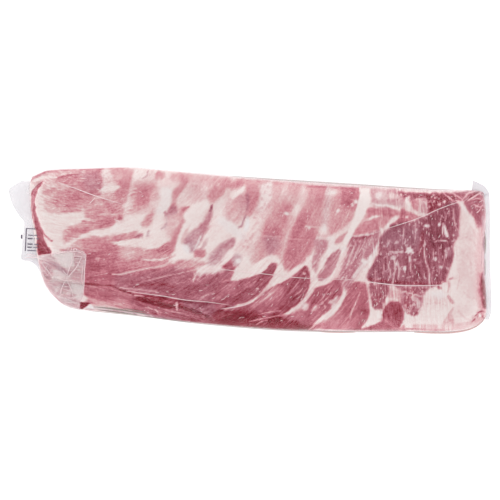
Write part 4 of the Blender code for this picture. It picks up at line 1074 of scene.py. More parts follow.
uneven_red = 0.055 * grain_noise(4.0, 26, 15) + 0.05 * grain_noise(11, 34, 17)
uneven_red += 0.04 * noise(MX / 5, MY / 5, 19)
red += lean_share * uneven_red[TOP]
print("laid", len(laid), "strokes; lean covers", round(float((red > 0.4).mean()) * 100), "% of the meat side")

# %% [markdown]
# The corner of the narrow end is hidden under doubled film, so what lies there is pale and even, with blurred
# grey-red marks. The sides of the rack are a saw cut: fat above, lean below, with the cut rib ends in a row
# along both long edges. The underside shows the ribs themselves, pale under their membrane, with red between.

# %% Doubled corner, sides and bone side
CORNER = [(-196, -20), (-178, -11), (-160, -8), (-152, -8), (-146.5, -10.5), (-147, -36), (-148, -48),
          (-150.5, -53), (-150.5, -66), (-170, -62), (-196, -40)]
patch(CORNER, 0.34, 0.8, chill=0.2, crisp=True)
patch([(-176, -12), (-166, -9.5), (-158, -9), (-157, -14), (-158, -21), (-162, -24), (-168, -21)], 0.06, 2.2,
    chill=0)
patch([(-188, -18), (-180, -18), (-177, -24), (-177, -34), (-183, -36), (-187, -27)], 0.6, 2.2, chill=0.4)
strand([(-184, -19), (-177, -19), (-170, -23), (-163, -27.5)], (2, 3, 5, 4), 0.64, 2.2, chill=1)
patch([(-174, -27), (-166, -28), (-164, -32), (-170, -34.5), (-176, -32)], 0.16, 2)
patch([(-157, -10), (-150, -9.5), (-148, -14), (-148.5, -33), (-157, -34), (-160.5, -28), (-156, -20)], 0.48,
    2, chill=0.25)
patch([(-182, -37), (-170, -36.5), (-168, -42), (-170, -49), (-177, -46)], 0.54, 2.2, chill=0.4)
patch([(-168, -37), (-158, -37.5), (-158, -42), (-164, -45), (-168, -43)], 0.5, 1.6, chill=0.5)
patch([(-158, -37.5), (-149, -38), (-149, -49), (-154, -50), (-160, -44)], 0.12, 1.8)
strand([(-161, -47), (-154, -47)], (2, 3, 1.5), 0.5, 1.4, chill=0.4)
patch([(-172, -51), (-160, -49), (-151, -52), (-151, -59), (-163, -58)], 0.42, 2.4, chill=0.7)
strand([(-184, -38), (-178, -45), (-170, -51.5), (-164, -56.5)], 1, 0.72, 0.8, chill=0.3)
for k in range(26):  # small marks, spread by steps of the golden section
    x, y = -185 + 35 * ((k * 0.618) % 1), -15 - 40 * ((k * 0.382 + 0.1) % 1)
    spot((x, y), (4.5, 1.5), 0.1 + 0.55 * (k % 2), 1.2, 67 * k, 0.5, 0.6)

all_red, all_cool, all_calm = np.zeros(len(MX)), np.zeros(len(MX)), np.zeros(len(MX))
all_marble, all_groove = np.full(len(MX), 0.3), np.zeros(len(MX))
for whole, part in (
    (all_red, red), (all_cool, cool), (all_marble, marble), (all_groove, groove), (all_calm, calm),
):
    whole[TOP] = part
BONE_HALF_WIDTH, BONE_HALF_HEIGHT, BONE_HEIGHT = 6.5, 3.8, 6.5
BONE_RIM_RED, BONE_RED, MARROW_RED = 0.75, 0.16, 0.46
RIB_HALF_WIDTH, FAT_RIM_Y = 7.5, 46.0
grain = noise(MX / 14, MZ / 2.2, 21) + 0.5 * noise(MY / 12, MZ / 1.6, 22)
all_red[SIDE] = (0.50 + 0.26 * grain)[SIDE]
all_cool[SIDE] = 0.3
rib = (MX - RIB_SLANT * MY) / RIB_PITCH
rib_offset = (rib - np.round(rib)) * RIB_PITCH
end_of_bone = (rib_offset / BONE_HALF_WIDTH) ** 2 + ((MZ - BONE_HEIGHT) / BONE_HALF_HEIGHT) ** 2
end_of_bone = end_of_bone + 0.25 * noise(MX / 3, MZ / 2, 23)
long_side = WALL & (np.abs(MX) < 190)
for size, tone in ((1.5, BONE_RIM_RED), (1.0, BONE_RED), (0.3, MARROW_RED)):
    all_red[long_side & (end_of_bone < size)] = tone
on_rib = ease((RIB_HALF_WIDTH - np.abs(rib_offset) + 0.8 * noise(MX / 5, MY / 9, 24)) / 3)
between_ribs = 0.14 * noise(MX / 4, MY / 16, 25) * (1 - on_rib)
bone_side = 0.58 - 0.36 * on_rib + between_ribs + 0.05 * noise(MX / 9, MY / 9, 26)
fat_rim = ease((np.abs(MY + 3) - FAT_RIM_Y + 6 * noise(MX / 16, MY / 16, 27)) / 6)
all_red[BASE_SIDE] = (bone_side * (1 - fat_rim) + 0.2 * fat_rim)[BASE_SIDE]
all_cool[BASE_SIDE] = (0.55 * on_rib + 0.3)[BASE_SIDE]
print("bone side: mean redness", round(float(all_red[BASE_SIDE].mean()), 2))

# %% [markdown]
# Colour comes next. Two colour scales turn redness into the tissue's colour: a warm one, and a cool one for
# tissue that the film or the blood has greyed, which also gives the grey lines of painted shade along the
# front rim. Their colours were matched against the picture. Fibres, specks and flecks of fat shift the redness
# before it meets the scales, so every streak stays a meat colour.

# %% Tools for materials
def linear(red_255, green_255, blue_255):
    """A screen colour as the renderer's linear one: (c + 0.055) / 1.055 raised to 2.4, for c from 0 to 1."""
    shares = [c / 255 for c in (red_255, green_255, blue_255)]
    return tuple(((c + 0.055) / 1.055) ** 2.4 if c > 0.04 else c / 12.92 for c in shares) + (1.0,)


def new_tree(name):
    """An empty material and its node tree."""
    material = bpy.data.materials.new(name)
    material.use_nodes = True
    material.node_tree.nodes.clear()
    return material, material.node_tree


def node(tree, kind, sockets, **settings):
    """A new shader node. Sockets gives an output to link, or a fixed value, for each input."""
    made = tree.nodes.new("ShaderNode" + kind)
    for name, value in settings.items():
        setattr(made, name, value)
    for name, value in sockets.items():
        if isinstance(value, bpy.types.NodeSocket):
            tree.links.new(value, made.inputs[name])
        else:
            made.inputs[name].default_value = value
    return made


def maths(tree, operation, *values):
    """One step of arithmetic on outputs or numbers."""
    return node(tree, "Math", dict(enumerate(values)), operation=operation).outputs[0]


def value_at_points(tree, name):
    """The number stored at the points under that name."""
    return node(tree, "Attribute", {}, attribute_name=name).outputs["Fac"]


def ease_between(tree, value, low, high):
    """The smooth step from 0 at low to 1 at high, as a node."""
    limits = {"Value": value, "From Min": low, "From Max": high}
    return node(tree, "MapRange", limits, interpolation_type="SMOOTHSTEP").outputs[0]


def blend(tree, share, first, second):
    """first + share x (second - first), for plain numbers."""
    return node(tree, "Mix", {0: share, 2: first, 3: second}).outputs[0]


def ramp(tree, factor, stops):
    """A colour scale. Stops are (position, colour), and colours between them are blended evenly."""
    scale = node(tree, "ValToRGB", {"Fac": factor})
    elements = scale.color_ramp.elements
    elements[0].position, elements[0].color = stops[0]
    elements[1].position, elements[1].color = stops[-1]
    for position, colour in stops[1:-1]:
        elements.new(position).color = colour
    return scale.outputs["Color"]


print("pale fat in the renderer's terms:", [round(c, 2) for c in linear(232, 222, 220)])

# %% The meat's material
WARM = [(0.0, (240, 231, 229)), (0.15, (233, 215, 213)), (0.30, (223, 189, 190)), (0.45, (214, 160, 165)),
        (0.60, (204, 133, 144)), (0.75, (186, 105, 120)), (0.90, (165, 80, 95)), (1.05, (141, 38, 55)),
        (1.20, (117, 14, 34))]
COOL = [(0.0, (234, 228, 229)), (0.30, (214, 193, 196)), (0.60, (185, 136, 148)), (0.90, (152, 90, 106)),
        (1.20, (106, 42, 58))]
TOP_OF_SCALE = 1.25
FAT_RED = 0.22  # redness of the flecks of fat in lean
FIBRE, BROAD_FIBRE, FLECK, SHEET = (1.4, 15.0), (4.6, 24.0), (1.9, 6.5), (1.2, 19.0)  # across and along


def streaks(tree, map_name, across, run, detail=3.0):
    """Noise in fibre coordinates: grains across millimetres wide and run millimetres long."""
    place = node(tree, "UVMap", {}, uv_map=map_name).outputs[0]
    grains = {0: place, 1: (100 / across, 100 / run, 1.0)}
    stretched = node(tree, "VectorMath", grains, operation="MULTIPLY").outputs[0]
    texture = {"Vector": stretched, "Scale": 1.0, "Detail": detail, "Roughness": 0.55}
    return node(tree, "TexNoise", texture).outputs["Fac"]


def both_ways(tree, across, run, share):
    """The same noise in the fan's coordinates and in the straight ones, blended by share."""
    fan_grain, straight_grain = (streaks(tree, name, across, run) for name in ("fan_map", "straight_map"))
    return blend(tree, share, fan_grain, straight_grain)


def meat_material():
    """Raw pork: redness plus fibres, specks and flecks of fat, through the colour scales, and moist."""
    material, tree = new_tree("raw_pork")
    share = value_at_points(tree, "straight")
    redness, chill, shot, calm = (value_at_points(tree, name) for name in ("red", "cool", "marble", "calm"))
    fibre, broad_fibre, fleck = (both_ways(tree, *size, share) for size in (FIBRE, BROAD_FIBRE, FLECK))
    place = node(tree, "TexCoord", {}).outputs["Object"]
    fine_spots = {"Vector": place, "Scale": 480.0, "Detail": 3.0, "Roughness": 0.6}
    speck = node(tree, "TexNoise", fine_spots).outputs["Fac"]
    pebble = node(tree, "TexNoise", {"Vector": place, "Scale": 300.0, "Detail": 1.0}).outputs["Fac"]

    # fibres show in lean, and most of all where lean and fat meet, at a redness near a third
    leanness = maths(tree, "MINIMUM", maths(tree, "MULTIPLY", redness, 2.0), 1.0)
    away = maths(tree, "MULTIPLY", maths(tree, "SUBTRACT", redness, 0.33), 4.0)
    between = maths(tree, "SUBTRACT", 1.0, maths(tree, "MULTIPLY", away, away))
    between = maths(tree, "MULTIPLY", maths(tree, "MAXIMUM", between, 0.0), 0.40)
    reach = maths(tree, "ADD", maths(tree, "MULTIPLY_ADD", leanness, 0.40, 0.10), between)
    reach = maths(tree, "MULTIPLY", reach, maths(tree, "MULTIPLY_ADD", calm, -0.6, 1.0))
    fine = maths(tree, "MULTIPLY", maths(tree, "SUBTRACT", fibre, 0.5), reach)
    broad_reach = maths(tree, "MULTIPLY", reach, 0.9)
    broad = maths(tree, "MULTIPLY", maths(tree, "SUBTRACT", broad_fibre, 0.5), broad_reach)
    speck_reach = maths(tree, "MULTIPLY_ADD", leanness, 0.34, 0.16)
    dots = maths(tree, "MULTIPLY", maths(tree, "SUBTRACT", speck, 0.5), speck_reach)
    total = maths(tree, "ADD", maths(tree, "ADD", redness, fine), maths(tree, "ADD", broad, dots))
    # thin pale and dark lines along the lean's grain
    sheet = both_ways(tree, *SHEET, share)
    pale_line, dark_line = ease_between(tree, sheet, 0.59, 0.72), ease_between(tree, sheet, 0.40, 0.28)
    pale_line = maths(tree, "MULTIPLY", pale_line, 0.30)
    lines = maths(tree, "SUBTRACT", maths(tree, "MULTIPLY", dark_line, 0.14), pale_line)
    calmed = maths(tree, "MULTIPLY_ADD", calm, -0.5, 1.0)
    lines = maths(tree, "MULTIPLY", maths(tree, "MULTIPLY", lines, leanness), calmed)
    total = maths(tree, "ADD", total, lines)
    # flecks of fat, as many as the stored number says
    fatty = ease_between(tree, blend(tree, 0.45, fleck, pebble), 0.54, 0.64)
    fatty = maths(tree, "MULTIPLY", maths(tree, "MULTIPLY", fatty, shot), leanness)
    total = blend(tree, maths(tree, "MULTIPLY", fatty, 0.8), total, FAT_RED)
    # colour, relief and gloss
    factor = maths(tree, "DIVIDE", total, TOP_OF_SCALE)
    warm = ramp(tree, factor, [(at / TOP_OF_SCALE, linear(*colour)) for at, colour in WARM])
    cold = ramp(tree, factor, [(at / TOP_OF_SCALE, linear(*colour)) for at, colour in COOL])
    colour = node(tree, "Mix", {"Factor": chill, "A": warm, "B": cold}, data_type="RGBA")
    bump = node(tree, "Bump", {"Height": fibre, "Strength": 0.35, "Distance": 0.0003}).outputs[0]
    moist = {
        "Base Color": colour.outputs["Result"], "Normal": bump, "Roughness": 0.42, "IOR": 1.38,
        "Specular IOR Level": 0.15,
    }
    flesh = node(tree, "BsdfPrincipled", moist)
    node(tree, "OutputMaterial", {"Surface": flesh.outputs[0]})
    return material


print("colours in the two scales:", len(WARM), "and", len(COOL))

# %% [markdown]
# The rack itself is the grid from before with the tissue's own relief: the slits sink by a millimetre, the
# lean stands a little proud of the fat, and fine unevenness breaks the smooth form. All stays under the film.

# %% The rack of meat
LEAN_PROUD, SLIT_DEPTH, FINE_RELIEF = 0.22, 1.3, 0.10
relief = LEAN_PROUD * ease(all_red / 0.6) - SLIT_DEPTH * all_groove + FINE_RELIEF * grain_noise(2.6, 10, 31)
MZ[TOP] = np.maximum(MZ[TOP] + relief[TOP] * ease((MZ[TOP] - RIM_HEIGHT) / 3), RIM_HEIGHT)
meat = make_piece("meat", MX, MY, MZ, MEAT_QUADS, meat_material())
keep_values(meat, red=all_red, cool=all_cool, marble=all_marble, calm=all_calm, straight=straight)
keep_map(meat, "fan_map", fan_across, fan_run)
keep_map(meat, "straight_map", straight_across, straight_run)
print("meat:", 2 * len(meat.data.polygons), "triangles, top at", round(float(MZ.max()), 1), "mm")

# %% [markdown]
# Shrink film is clear: what shows of it is gloss where it mirrors the lamps, and haze where it is folded or
# doubled. So one number for each point of the film says how hazy it is, and the rest lets the meat through.
# Along the back and front rims, on the glints and at the folded corner's inner edge, that haze is also painted
# reflection.

# %% The film's material
def film_material(name, haze_colour, gloss=0.14):
    """Clear film: see-through, mixed with white haze by the number stored as haze. Its gloss follows
    Schlick's rule: 0.016 head on, and the rest by the fifth power of the slant, the same from either side."""
    material, tree = new_tree(name)
    clear = node(tree, "BsdfTransparent", {})
    shine = node(tree, "BsdfGlossy", {"Roughness": gloss, "Color": (1.0, 1.0, 1.0, 1.0)})
    slant = node(tree, "LayerWeight", {"Blend": 0.5}).outputs["Facing"]
    mirror = maths(tree, "MULTIPLY_ADD", maths(tree, "POWER", slant, 5.0), 0.98, 0.016)
    bare = node(tree, "MixShader", {0: mirror, 1: clear.outputs[0], 2: shine.outputs[0]})
    white = node(tree, "BsdfDiffuse", {"Color": linear(*haze_colour)})
    cloud = value_at_points(tree, "haze")
    hazy = node(tree, "MixShader", {0: cloud, 1: bare.outputs[0], 2: white.outputs[0]})
    node(tree, "OutputMaterial", {"Surface": hazy.outputs[0]})
    return material


def relaxed_film(x, y, amount=0.2):
    """Slack in tight film: two sizes of noise, longer along the pack than across it."""
    return amount * (noise(x / 19, y / 7, 41) + 0.5 * noise(x / 6, y / 5, 42))


SKIN_HAZE, PAINTED_RIM_SHEEN, SIDE_HAZE = 0.005, 0.10, 0.12
CLEAR_FILM = film_material("clear_film", (246, 241, 241))
SU, SV, STURN, SKIN_QUADS = slab_grid(across_x=264, across_y=82, rings=8)
SX, SY, SZ = slab_points(SU, SV, STURN)
skin_top = STURN == 0
SZ[skin_top] += relaxed_film(SX, SY)[skin_top] * ease((SZ[skin_top] - RIM_HEIGHT) / 6)
skin = make_piece("film_skin", SX, SY, SZ, SKIN_QUADS, CLEAR_FILM)
edge = np.maximum(depth_inside(OUTLINE[::3], SX, SY), 0)
# painted reflection: the film is hazier within a few millimetres of the back and front rims, where the
# shoulder mirrors the bright surroundings
back_rim = ease((SX + 60) / 30) * ease((SY - 40) / 10) * ease((3.6 - edge) / 2)
front_rim = ease((SX - 40) / 40) * ease((-SY - 40) / 10) * ease((3.4 - edge) / 2)
haze = SKIN_HAZE + 0.005 * noise(SX / 14, SY / 9, 43) + PAINTED_RIM_SHEEN * np.maximum(back_rim, front_rim)
haze[~skin_top] = SIDE_HAZE
keep_values(skin, haze=np.clip(haze, 0, 1))
print("skin:", 2 * len(skin.data.polygons), "triangles, haze up to", round(float(haze.max()), 2))

# %% [markdown]
# Round the pack the film stands free: a wide two-winged flap at the narrow end, a thin strip at the broad end
# and a small ear at the back corner. Each is a ruled sheet, from an edge of the slab out to the sheet's own
# cut edge, and sags towards the table. A thin real thickness closes it.

# %% Loose film
FILM_THICKNESS = 0.25


def ruled(inner, outer, rows, columns):
    """A grid of places between two lines: share 0 on the inner one, 1 on the outer, and run along both."""
    share, run = np.meshgrid(np.linspace(0, 1, rows), np.linspace(0, 1, columns), indexing="ij")
    near, far = along(line_through(inner, 200), run), along(line_through(outer, 200), run)
    place = near * (1 - share[..., None]) + far * share[..., None]
    return place[..., 0].ravel(), place[..., 1].ravel(), share.ravel(), run.ravel()


def grid_quads(rows, columns):
    """Corner numbers of a plain grid's quads."""
    index = np.arange(rows * columns).reshape(rows, columns)
    return np.stack([index[:-1, :-1], index[1:, :-1], index[1:, 1:], index[:-1, 1:]], -1).reshape(-1, 4)


def film_sheet(name, x, y, z, quads, material, haze):
    """A loose sheet of film: the given surface, thickened, with its haze."""
    piece = make_piece(name, x, y, z, quads, material)
    keep_values(piece, haze=np.clip(haze, 0, 1))
    thicken = piece.modifiers.new("thickness", "SOLIDIFY")
    thicken.thickness, thicken.offset = FILM_THICKNESS * METRES, 0.0
    return piece


LOOSE_FILM = film_material("loose_film", (222, 218, 224))
LEFT_TIP = [(-184.5, -35), (-187.5, -28), (-190.5, -22.5), (-196.5, -18.4), (-204.6, -16.8), (-204.6, -8),
            (-204.5, 2), (-203.6, 11), (-204, 17.5), (-207.8, 21.8), (-212.8, 28.5), (-216, 35), (-218, 41),
            (-218.6, 45.2), (-213.5, 49.6), (-207.5, 53.4)]
LEFT_ROOT = [(-181, -35), (-188, -15), (-194, 18), (-197, 40), (-197.5, 50), (-197, 53)]
RIGHT_TIP = [(216.5, -53.5), (218.5, -44), (217, -20), (215, 10), (214, 40), (212.5, 60)]
RIGHT_ROOT = [(211, -53.5), (213, -44), (211, -20), (209, 10), (208.6, 40), (206, 58)]
EAR_TIP = [(197.5, 70.5), (203, 68.5), (208.5, 65.5), (212.5, 60)]
EAR_ROOT = [(196.5, 58), (200, 57.5), (204, 56.5), (206.5, 54)]


def loose_sheet(name, root, tip, rows, columns, drop, ripple, wrinkle, cloud, seed):
    """A flap: ruled from root to tip. It falls by drop x share^2 towards the tip, and ripples along its edge.
    Cloud is its haze at the start of its edge and at the end."""
    x, y, share, run = ruled(root, tip, rows, columns)
    fine = noise(x / 5, y / 9, seed) + 0.6 * noise(x / 2.2, y / 4, seed + 1)
    wave = np.sin(3.1 * np.pi * run + 0.8)
    z = RIM_HEIGHT - drop * share**2 + ripple * share * wave + wrinkle * share * fine
    haze = cloud[0] + (cloud[1] - cloud[0]) * ease(run / 0.6) + 0.04 * fine
    haze = haze + 0.1 * ease((share - 0.95) / 0.05)
    return film_sheet(name, x, y, z, grid_quads(rows, columns), LOOSE_FILM, haze)


FLAP_DROP, FLAP_RIPPLE = 6.0, 1.2
loose_sheet("left_flap", LEFT_ROOT, LEFT_TIP, rows=26, columns=130, drop=FLAP_DROP, ripple=FLAP_RIPPLE,
            wrinkle=0.30, cloud=(0.58, 0.34), seed=51)
loose_sheet("right_strip", RIGHT_ROOT, RIGHT_TIP, rows=10, columns=130, drop=2.0, ripple=0.6,
            wrinkle=0.15, cloud=(0.36, 0.36), seed=53)
loose_sheet("back_ear", EAR_ROOT, EAR_TIP, rows=14, columns=24, drop=3.0, ripple=0.4,
            wrinkle=0.2, cloud=(0.50, 0.50), seed=55)
print("loose film: three sheets,", FILM_THICKNESS, "mm thick")

# %% [markdown]
# At the front corner of the narrow end the bag was too wide, and the spare film is folded back over the meat.
# Two layers cling to each other there, crumpled and milky. The sheet runs from its inner edge out to the rim
# and on down the side, and folded ridges of noise stand for the crumples.

# %% The folded corner
CORNER_INNER = [(-190, -14), (-184, -12.5), (-178, -11), (-170, -9), (-163, -7), (-157, -5.4), (-151.5, -6.8),
                (-146.3, -10.5), (-146.6, -22), (-147, -36), (-147.6, -47), (-150, -53), (-150.5, -59.2)]
CORNER_ROWS, CORNER_COLUMNS = 64, 120
ROWS_OVER = int(CORNER_ROWS * 0.78)  # rows on top; the others go down the side
CORNER_LIFT, CRUMPLE_HEIGHT = 0.15, 0.40


def crumples(x, y):
    """Folded ridges: 1 - 2 |noise| in two sizes, so that creases are sharp and the film between is smooth."""
    large = 1 - np.abs(noise(x / 7 + 0.4 * y / 7, y / 11, 61)) * 2
    small = 1 - np.abs(noise(x / 3.1, y / 4.7, 62)) * 2
    return 0.6 * large + 0.4 * small


def corner_sheet():
    """The folded corner: over the top for the first rows, ruled from its inner edge to the rim, then down the
    rounded side by the same quarter circle as the slab's."""
    near = (OUTLINE[:, 0] < -150) & (OUTLINE[:, 1] < -13)
    rim = OUTLINE[near]
    rim = rim[np.argsort(-rim[:, 1])]
    rows_down = CORNER_ROWS - ROWS_OVER
    share, run = np.meshgrid(np.linspace(0, 1, ROWS_OVER), np.linspace(0, 1, CORNER_COLUMNS), indexing="ij")
    inner, outer = along(line_through(CORNER_INNER, 300), run), along(rim, run)
    place = inner * (1 - share[..., None]) + outer * share[..., None]
    z = top_of_pack(place[..., 0], place[..., 1])
    angle = np.linspace(0, np.pi * 0.42, rows_down + 1)[1:, None, None]
    inward = np.array([-120.0, 0.0]) - outer[:1]
    inward /= np.linalg.norm(inward, axis=-1, keepdims=True)
    lower = outer[:1] + inward * BASE_INSET * (1 - np.cos(angle))
    lower_z = np.broadcast_to(RIM_HEIGHT * (1 - np.sin(angle[..., 0])), lower.shape[:2])
    place, z = np.concatenate([place, lower]), np.concatenate([z, lower_z])
    x, y, z = place[..., 0].ravel(), place[..., 1].ravel(), z.ravel()
    shape = crumples(x, y)
    z = z + CORNER_LIFT + CRUMPLE_HEIGHT * shape
    # painted highlight: the doubled film is hazier, so whiter, along the fold's inner edge
    edge_glow = np.exp(-np.linspace(0, 1, ROWS_OVER) * 26)
    edge_glow = np.repeat(np.concatenate([edge_glow, np.zeros(rows_down)]), CORNER_COLUMNS)
    haze = 0.06 + 0.09 * shape + 0.18 * edge_glow + 0.03 * noise(x / 9, y / 9, 63)
    doubled_film = film_material("doubled_film", (252, 236, 240))
    return film_sheet("folded_corner", x, y, z, grid_quads(CORNER_ROWS, CORNER_COLUMNS), doubled_film, haze)


corner = corner_sheet()
print("folded corner:", 2 * len(corner.data.polygons), "triangles before thickening")

# %% [markdown]
# Long thin creases cross the film, and short glints sit where it clings to wet meat. Both are raised threads
# of film: a small oval carried along a line that lies on the skin, thinning to nothing at its ends. The glints
# are painted highlights: white threads that stand for light caught by the wet film.

# %% Creases and glints
THREAD_STEP = 1.4  # a ring of points for each such length of thread


def threads(name, lines, material, haze_value, height=0.22, lift=0.05, round_points=6):
    """One piece of many threads, each given as a line and a width. It is an oval of that width and height,
    swept along the line, and both shrink by the square root of sin(pi t) towards the ends."""
    xs, ys, zs, quads, start = [], [], [], [], 0
    for line, width in lines:
        steps = max(6, int(np.linalg.norm(np.diff(line, axis=0), axis=1).sum() / THREAD_STEP))
        path = line_through(line, steps)
        ahead = np.gradient(path, axis=0)
        ahead /= np.linalg.norm(ahead, axis=1, keepdims=True)
        t = np.linspace(0.004, 0.996, steps)
        size = np.sqrt(np.sin(np.pi * t))[:, None]
        angle = np.linspace(0, 2 * np.pi, round_points, endpoint=False)[None]
        sideways = width / 2 * size * np.cos(angle)
        xs.append((path[:, :1] - ahead[:, 1:] * sideways).ravel())
        ys.append((path[:, 1:] + ahead[:, :1] * sideways).ravel())
        up = top_of_pack(path[:, 0], path[:, 1]) + relaxed_film(path[:, 0], path[:, 1])
        zs.append((up[:, None] + lift + height * size * np.sin(angle)).ravel())
        ring = start + np.arange(steps * round_points).reshape(steps, round_points)
        after = np.roll(ring, -1, 1)
        quads.append(np.stack([ring[:-1], ring[1:], after[1:], after[:-1]], -1).reshape(-1, 4))
        start += steps * round_points
    places = [np.concatenate(values) for values in (xs, ys, zs)]
    piece = make_piece(name, *places, np.vstack(quads), material)
    keep_values(piece, haze=np.full(start, haze_value))


CREASES = [
    ([(-177, 54), (-157, 48), (-140, 42.5), (-115, 36)], 0.8), ([(-140, 42), (-143, 38), (-146, 35)], 0.7),
    ([(-56, -22), (-50, -20), (-44.5, -18.6), (-34, -18), (-14.5, -19), (15.5, -21), (45.5, -23), (80.5, -23),
      (92, -23)], 0.5),
    ([(86, -22.4), (100, -23.4), (118, -25), (135.5, -26), (155.5, -25.4), (181, -23.6)], 0.8),
    ([(112, 20), (120, 23.6), (132, 28), (145, 33), (157, 38.4), (165, 42.6), (175, 47), (184, 50.4),
      (190, 52), (195, 57)], 0.6),
    ([(-110, -41.4), (-89.5, -43.2), (-74.5, -44.6), (-64, -46.2), (-52, -47.4), (-34.5, -48.2),
      (-14.5, -50.2)], 0.6), ([(-24.5, -54), (-4.5, -50), (3.5, -46)], 0.7),
    ([(-123, 22.5), (-119, 21), (-116.5, 20)], 0.7)]
CORNER_LINES = [
    # the first line, on the fold's inner edge, is a painted highlight
    ([(-146.6, -10.8), (-146.9, -22), (-147.1, -36), (-147.8, -47), (-150, -53)], 0.6),
    ([(-190, -13.2), (-178, -11), (-168, -9.4), (-160, -8.2), (-153, -8.2), (-146.8, -10.8)], 0.7),
    ([(-163, -7.5), (-161.5, -4.2), (-159.5, -4.5), (-160, -7.8)], 0.7),
    ([(-158, -8), (-157, -5), (-155, -5.6), (-155.5, -8)], 0.7),
    ([(-156, -8), (-158, -15), (-161, -24), (-163.5, -33)], 0.8),
    ([(-150, -12), (-154, -21), (-159, -28), (-163.5, -33)], 0.9),
    ([(-163.5, -33), (-167, -41), (-169, -50)], 0.9), ([(-163.5, -33), (-159, -41), (-156, -51)], 0.8),
    ([(-178, -34.5), (-170, -34), (-160, -35.2), (-148.5, -36)], 0.9), ([(-181, -36.5), (-172, -37)], 0.6),
    ([(-157, -12), (-149.5, -12)], 0.7), ([(-156.5, -14.6), (-150, -14.4)], 0.6),
    ([(-156, -17.4), (-150, -17.8)], 0.6), ([(-187, -19), (-181, -25), (-176, -31)], 0.8),
    ([(-185, -17.5), (-177, -22)], 0.6), ([(-186, -24), (-180, -30)], 0.7), ([(-185, -29), (-181, -34)], 0.6),
    ([(-180, -20), (-183, -27)], 0.6), ([(-177, -26), (-181, -31)], 0.6), ([(-167, -25), (-162, -30)], 0.7),
    ([(-175, -40), (-170, -43)], 0.6), ([(-177, -43), (-171, -47)], 0.6), ([(-167, -39), (-160, -40)], 0.6),
    ([(-166, -42), (-160, -43.4)], 0.6), ([(-165, -46), (-171, -50)], 0.7), ([(-161, -50), (-153, -49)], 0.7),
    ([(-164, -54), (-156, -54)], 0.6), ([(-149, -20), (-149.6, -33)], 0.6),
    ([(-203, -15.6), (-196, -14.8), (-188, -14.2), (-180, -12.6)], 1.0),
    ([(-201, -12.6), (-195, -12.6), (-189, -13.2)], 0.7)]
WHITE_FILM = film_material("crease_and_glint_film", (253, 232, 235))
threads("corner_creases", CORNER_LINES, WHITE_FILM, 0.62, height=0.25, lift=0.65)
threads("film_creases", CREASES, WHITE_FILM, 0.80)

GLINT_FIELDS = [  # middle, half size, count, direction in degrees, longest in millimetres
    ((-158, 54), (22, 8), 12, 5, 3), ((-125, -20), (20, 16), 8, 10, 3), ((-70, -38), (36, 8), 10, 14, 4),
    ((-80, -56), (40, 5), 14, -14, 4), ((-15, -38), (22, 9), 9, 35, 4), ((10, -30), (10, 10), 5, 45, 3),
    ((35, -36), (16, 13), 9, 50, 5), ((70, -44), (18, 14), 12, 58, 6), ((98, -44), (10, 18), 7, 72, 6),
    ((15, -58), (34, 4), 8, 15, 4), ((115, -36), (7, 10), 12, 80, 3),
    ((146, -6), (30, 16), 20, 84, 4), ((168, 34), (14, 16), 9, 80, 4), ((148, -42), (8, 8), 12, 70, 3),
    ((160, 53), (26, 5), 16, 10, 3), ((80, 45), (12, 12), 14, 40, 3), ((100, 2), (10, 14), 14, 75, 4),
    ((45, 20), (14, 20), 12, 70, 3), ((64, 3), (4, 10), 10, 70, 3), ((202, 50), (6, 8), 10, 45, 3),
    ((22, 20), (10, 24), 10, 70, 3), ((-95, 48), (14, 12), 10, 30, 3)]
dice = np.random.default_rng(71)
glints = []
for (cx, cy), (wide, high), count, turn, longest in GLINT_FIELDS:
    for _ in range(count):
        x, y = cx + wide * dice.uniform(-1, 1), cy + high * dice.uniform(-1, 1)
        angle, length = math.radians(turn + dice.normal(0, 14)), dice.uniform(1.2, longest)
        dx, dy = length / 2 * math.cos(angle), length / 2 * math.sin(angle)
        glints.append([(x - dx, y - dy), (x + 0.12 * dy, y - 0.12 * dx), (x + dx, y + dy)])
glints = list(zip(glints, dice.uniform(0.26, 0.54, len(glints))))
threads("film_glints", glints, WHITE_FILM, 0.82, height=0.15)
RIM_FILM = film_material("rim_film", (206, 194, 192))
threads("film_rims", [(OUTLINE_BACK, 1.5), (OUTLINE_FRONT, 1.5)], RIM_FILM, 0.40, height=0.4, lift=0.0)
# grey threads of film: along the front rim they are painted shadow, and two more run down the broad end's edge
GREY_FILM = film_material("grey_edge_film", (170, 158, 150))
GREY_EDGE_LINES = [
    ([(-138, -56.8), (-122, -57.8), (-104, -59.6), (-86, -62)], 1.3),
    ([(-134, -59.4), (-116, -60.8), (-98, -62.4)], 1.2), ([(-112, -57), (-100, -58.4), (-90, -60)], 0.9),
    ([(-92, -63.4), (-70, -65.6), (-50, -67.4)], 0.9), ([(209.4, 25), (210.4, 16), (210.8, 5)], 1.6),
    ([(211.2, 1), (211.6, -14)], 0.9)]
threads("film_grey_edge_lines", GREY_EDGE_LINES, GREY_FILM, 0.55, height=0.3, lift=0.0)
# pink lines of film along the front rim
PINK_RIM_FILM = film_material("pink_rim_film", (214, 164, 160))
PINK_RIM_LINES = [
    ([(150, -67.6), (170, -67), (184, -66), (196, -63.6), (204, -60.4), (210, -55.6), (214.4, -49)], 2.4),
    ([(64, -70.6), (80, -70.4), (98, -69.8)], 1.6)]
threads("film_pink_rim", PINK_RIM_LINES, PINK_RIM_FILM, 0.50, height=0.4, lift=-0.2)
print("threads:", len(CREASES), "creases and", len(glints), "glints")

# %% [markdown]
# The flap carries a small printed block. Here it is plain bars, laid flat on the film, with nothing to read.

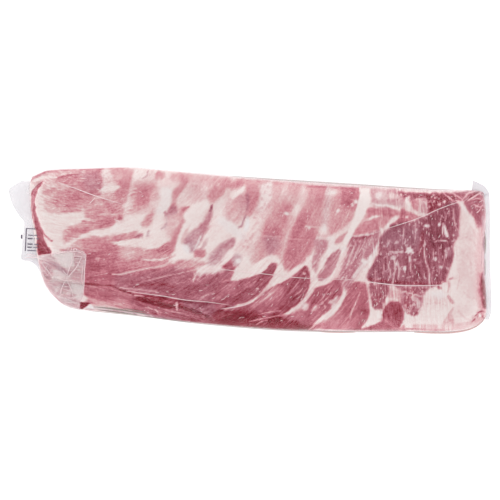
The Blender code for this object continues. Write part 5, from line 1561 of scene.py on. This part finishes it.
# %% Printed block
PRINT_BARS = [  # x and y of the middle, length, height
    (-197.4, 10.8, 9.0, 0.9), (-201.4, 0.6, 1.1, 20.0), (-197.2, 5.0, 5.0, 0.9), (-192.4, 5.0, 3.0, 0.8),
    (-197.6, 2.0, 4.6, 1.3), (-192.0, 2.0, 4.4, 1.0), (-197.5, -3.0, 4.8, 1.3), (-191.8, -3.2, 4.0, 0.9),
    (-197.7, -5.8, 4.2, 1.2), (-192.2, -5.8, 4.4, 0.9), (-195.6, -8.7, 8.4, 1.0), (-205.3, 3.4, 1.5, 3.6)]
BAR_BOTTOM, BAR_TOP = 0.30, 0.42  # above the film
FLAP_ROOT_X, FLAP_WIDTH = -193.0, 11.0


def bars_on_film():
    """Flat bars, a box each. Each lies on whichever is higher under it, the flap or the slab's side."""
    xs, ys, zs, quads = [], [], [], []
    box_quads = np.array([(0, 3, 2, 1), (4, 5, 6, 7), (0, 1, 5, 4), (1, 2, 6, 5), (2, 3, 7, 6), (3, 0, 4, 7)])
    for k, (cx, cy, length, high) in enumerate(PRINT_BARS):
        across = np.array([-1, 1, 1, -1] * 2) * length / 2
        upward = np.array([-1, -1, 1, 1] * 2) * high / 2
        xs.append(cx + across)
        ys.append(cy + upward)
        zs.append(np.array([BAR_BOTTOM] * 4 + [BAR_TOP] * 4) + height_of_flap(xs[-1], ys[-1]))
        quads.append(box_quads + 8 * k)
    return np.concatenate(xs), np.concatenate(ys), np.concatenate(zs), np.vstack(quads)


def height_of_flap(x, y):
    """Height of the left flap near the printed block, or of the slab's shoulder where that is higher: the
    flap's parabola, with the most that its ripple adds."""
    share = np.clip((FLAP_ROOT_X - x) / FLAP_WIDTH, 0, 1)
    flap = RIM_HEIGHT - FLAP_DROP * share**2 + FLAP_RIPPLE
    return np.maximum(flap, top_of_pack(x, y) + 0.1)


ink, ink_tree = new_tree("grey_print")
INK_COLOUR = linear(112, 102, 118)
ink_face = node(ink_tree, "BsdfPrincipled", {"Base Color": INK_COLOUR, "Roughness": 0.5})
node(ink_tree, "OutputMaterial", {"Surface": ink_face.outputs[0]})
make_piece("printed_bars", *bars_on_film(), ink, smooth=False)
print("print:", len(PRINT_BARS), "plain bars")
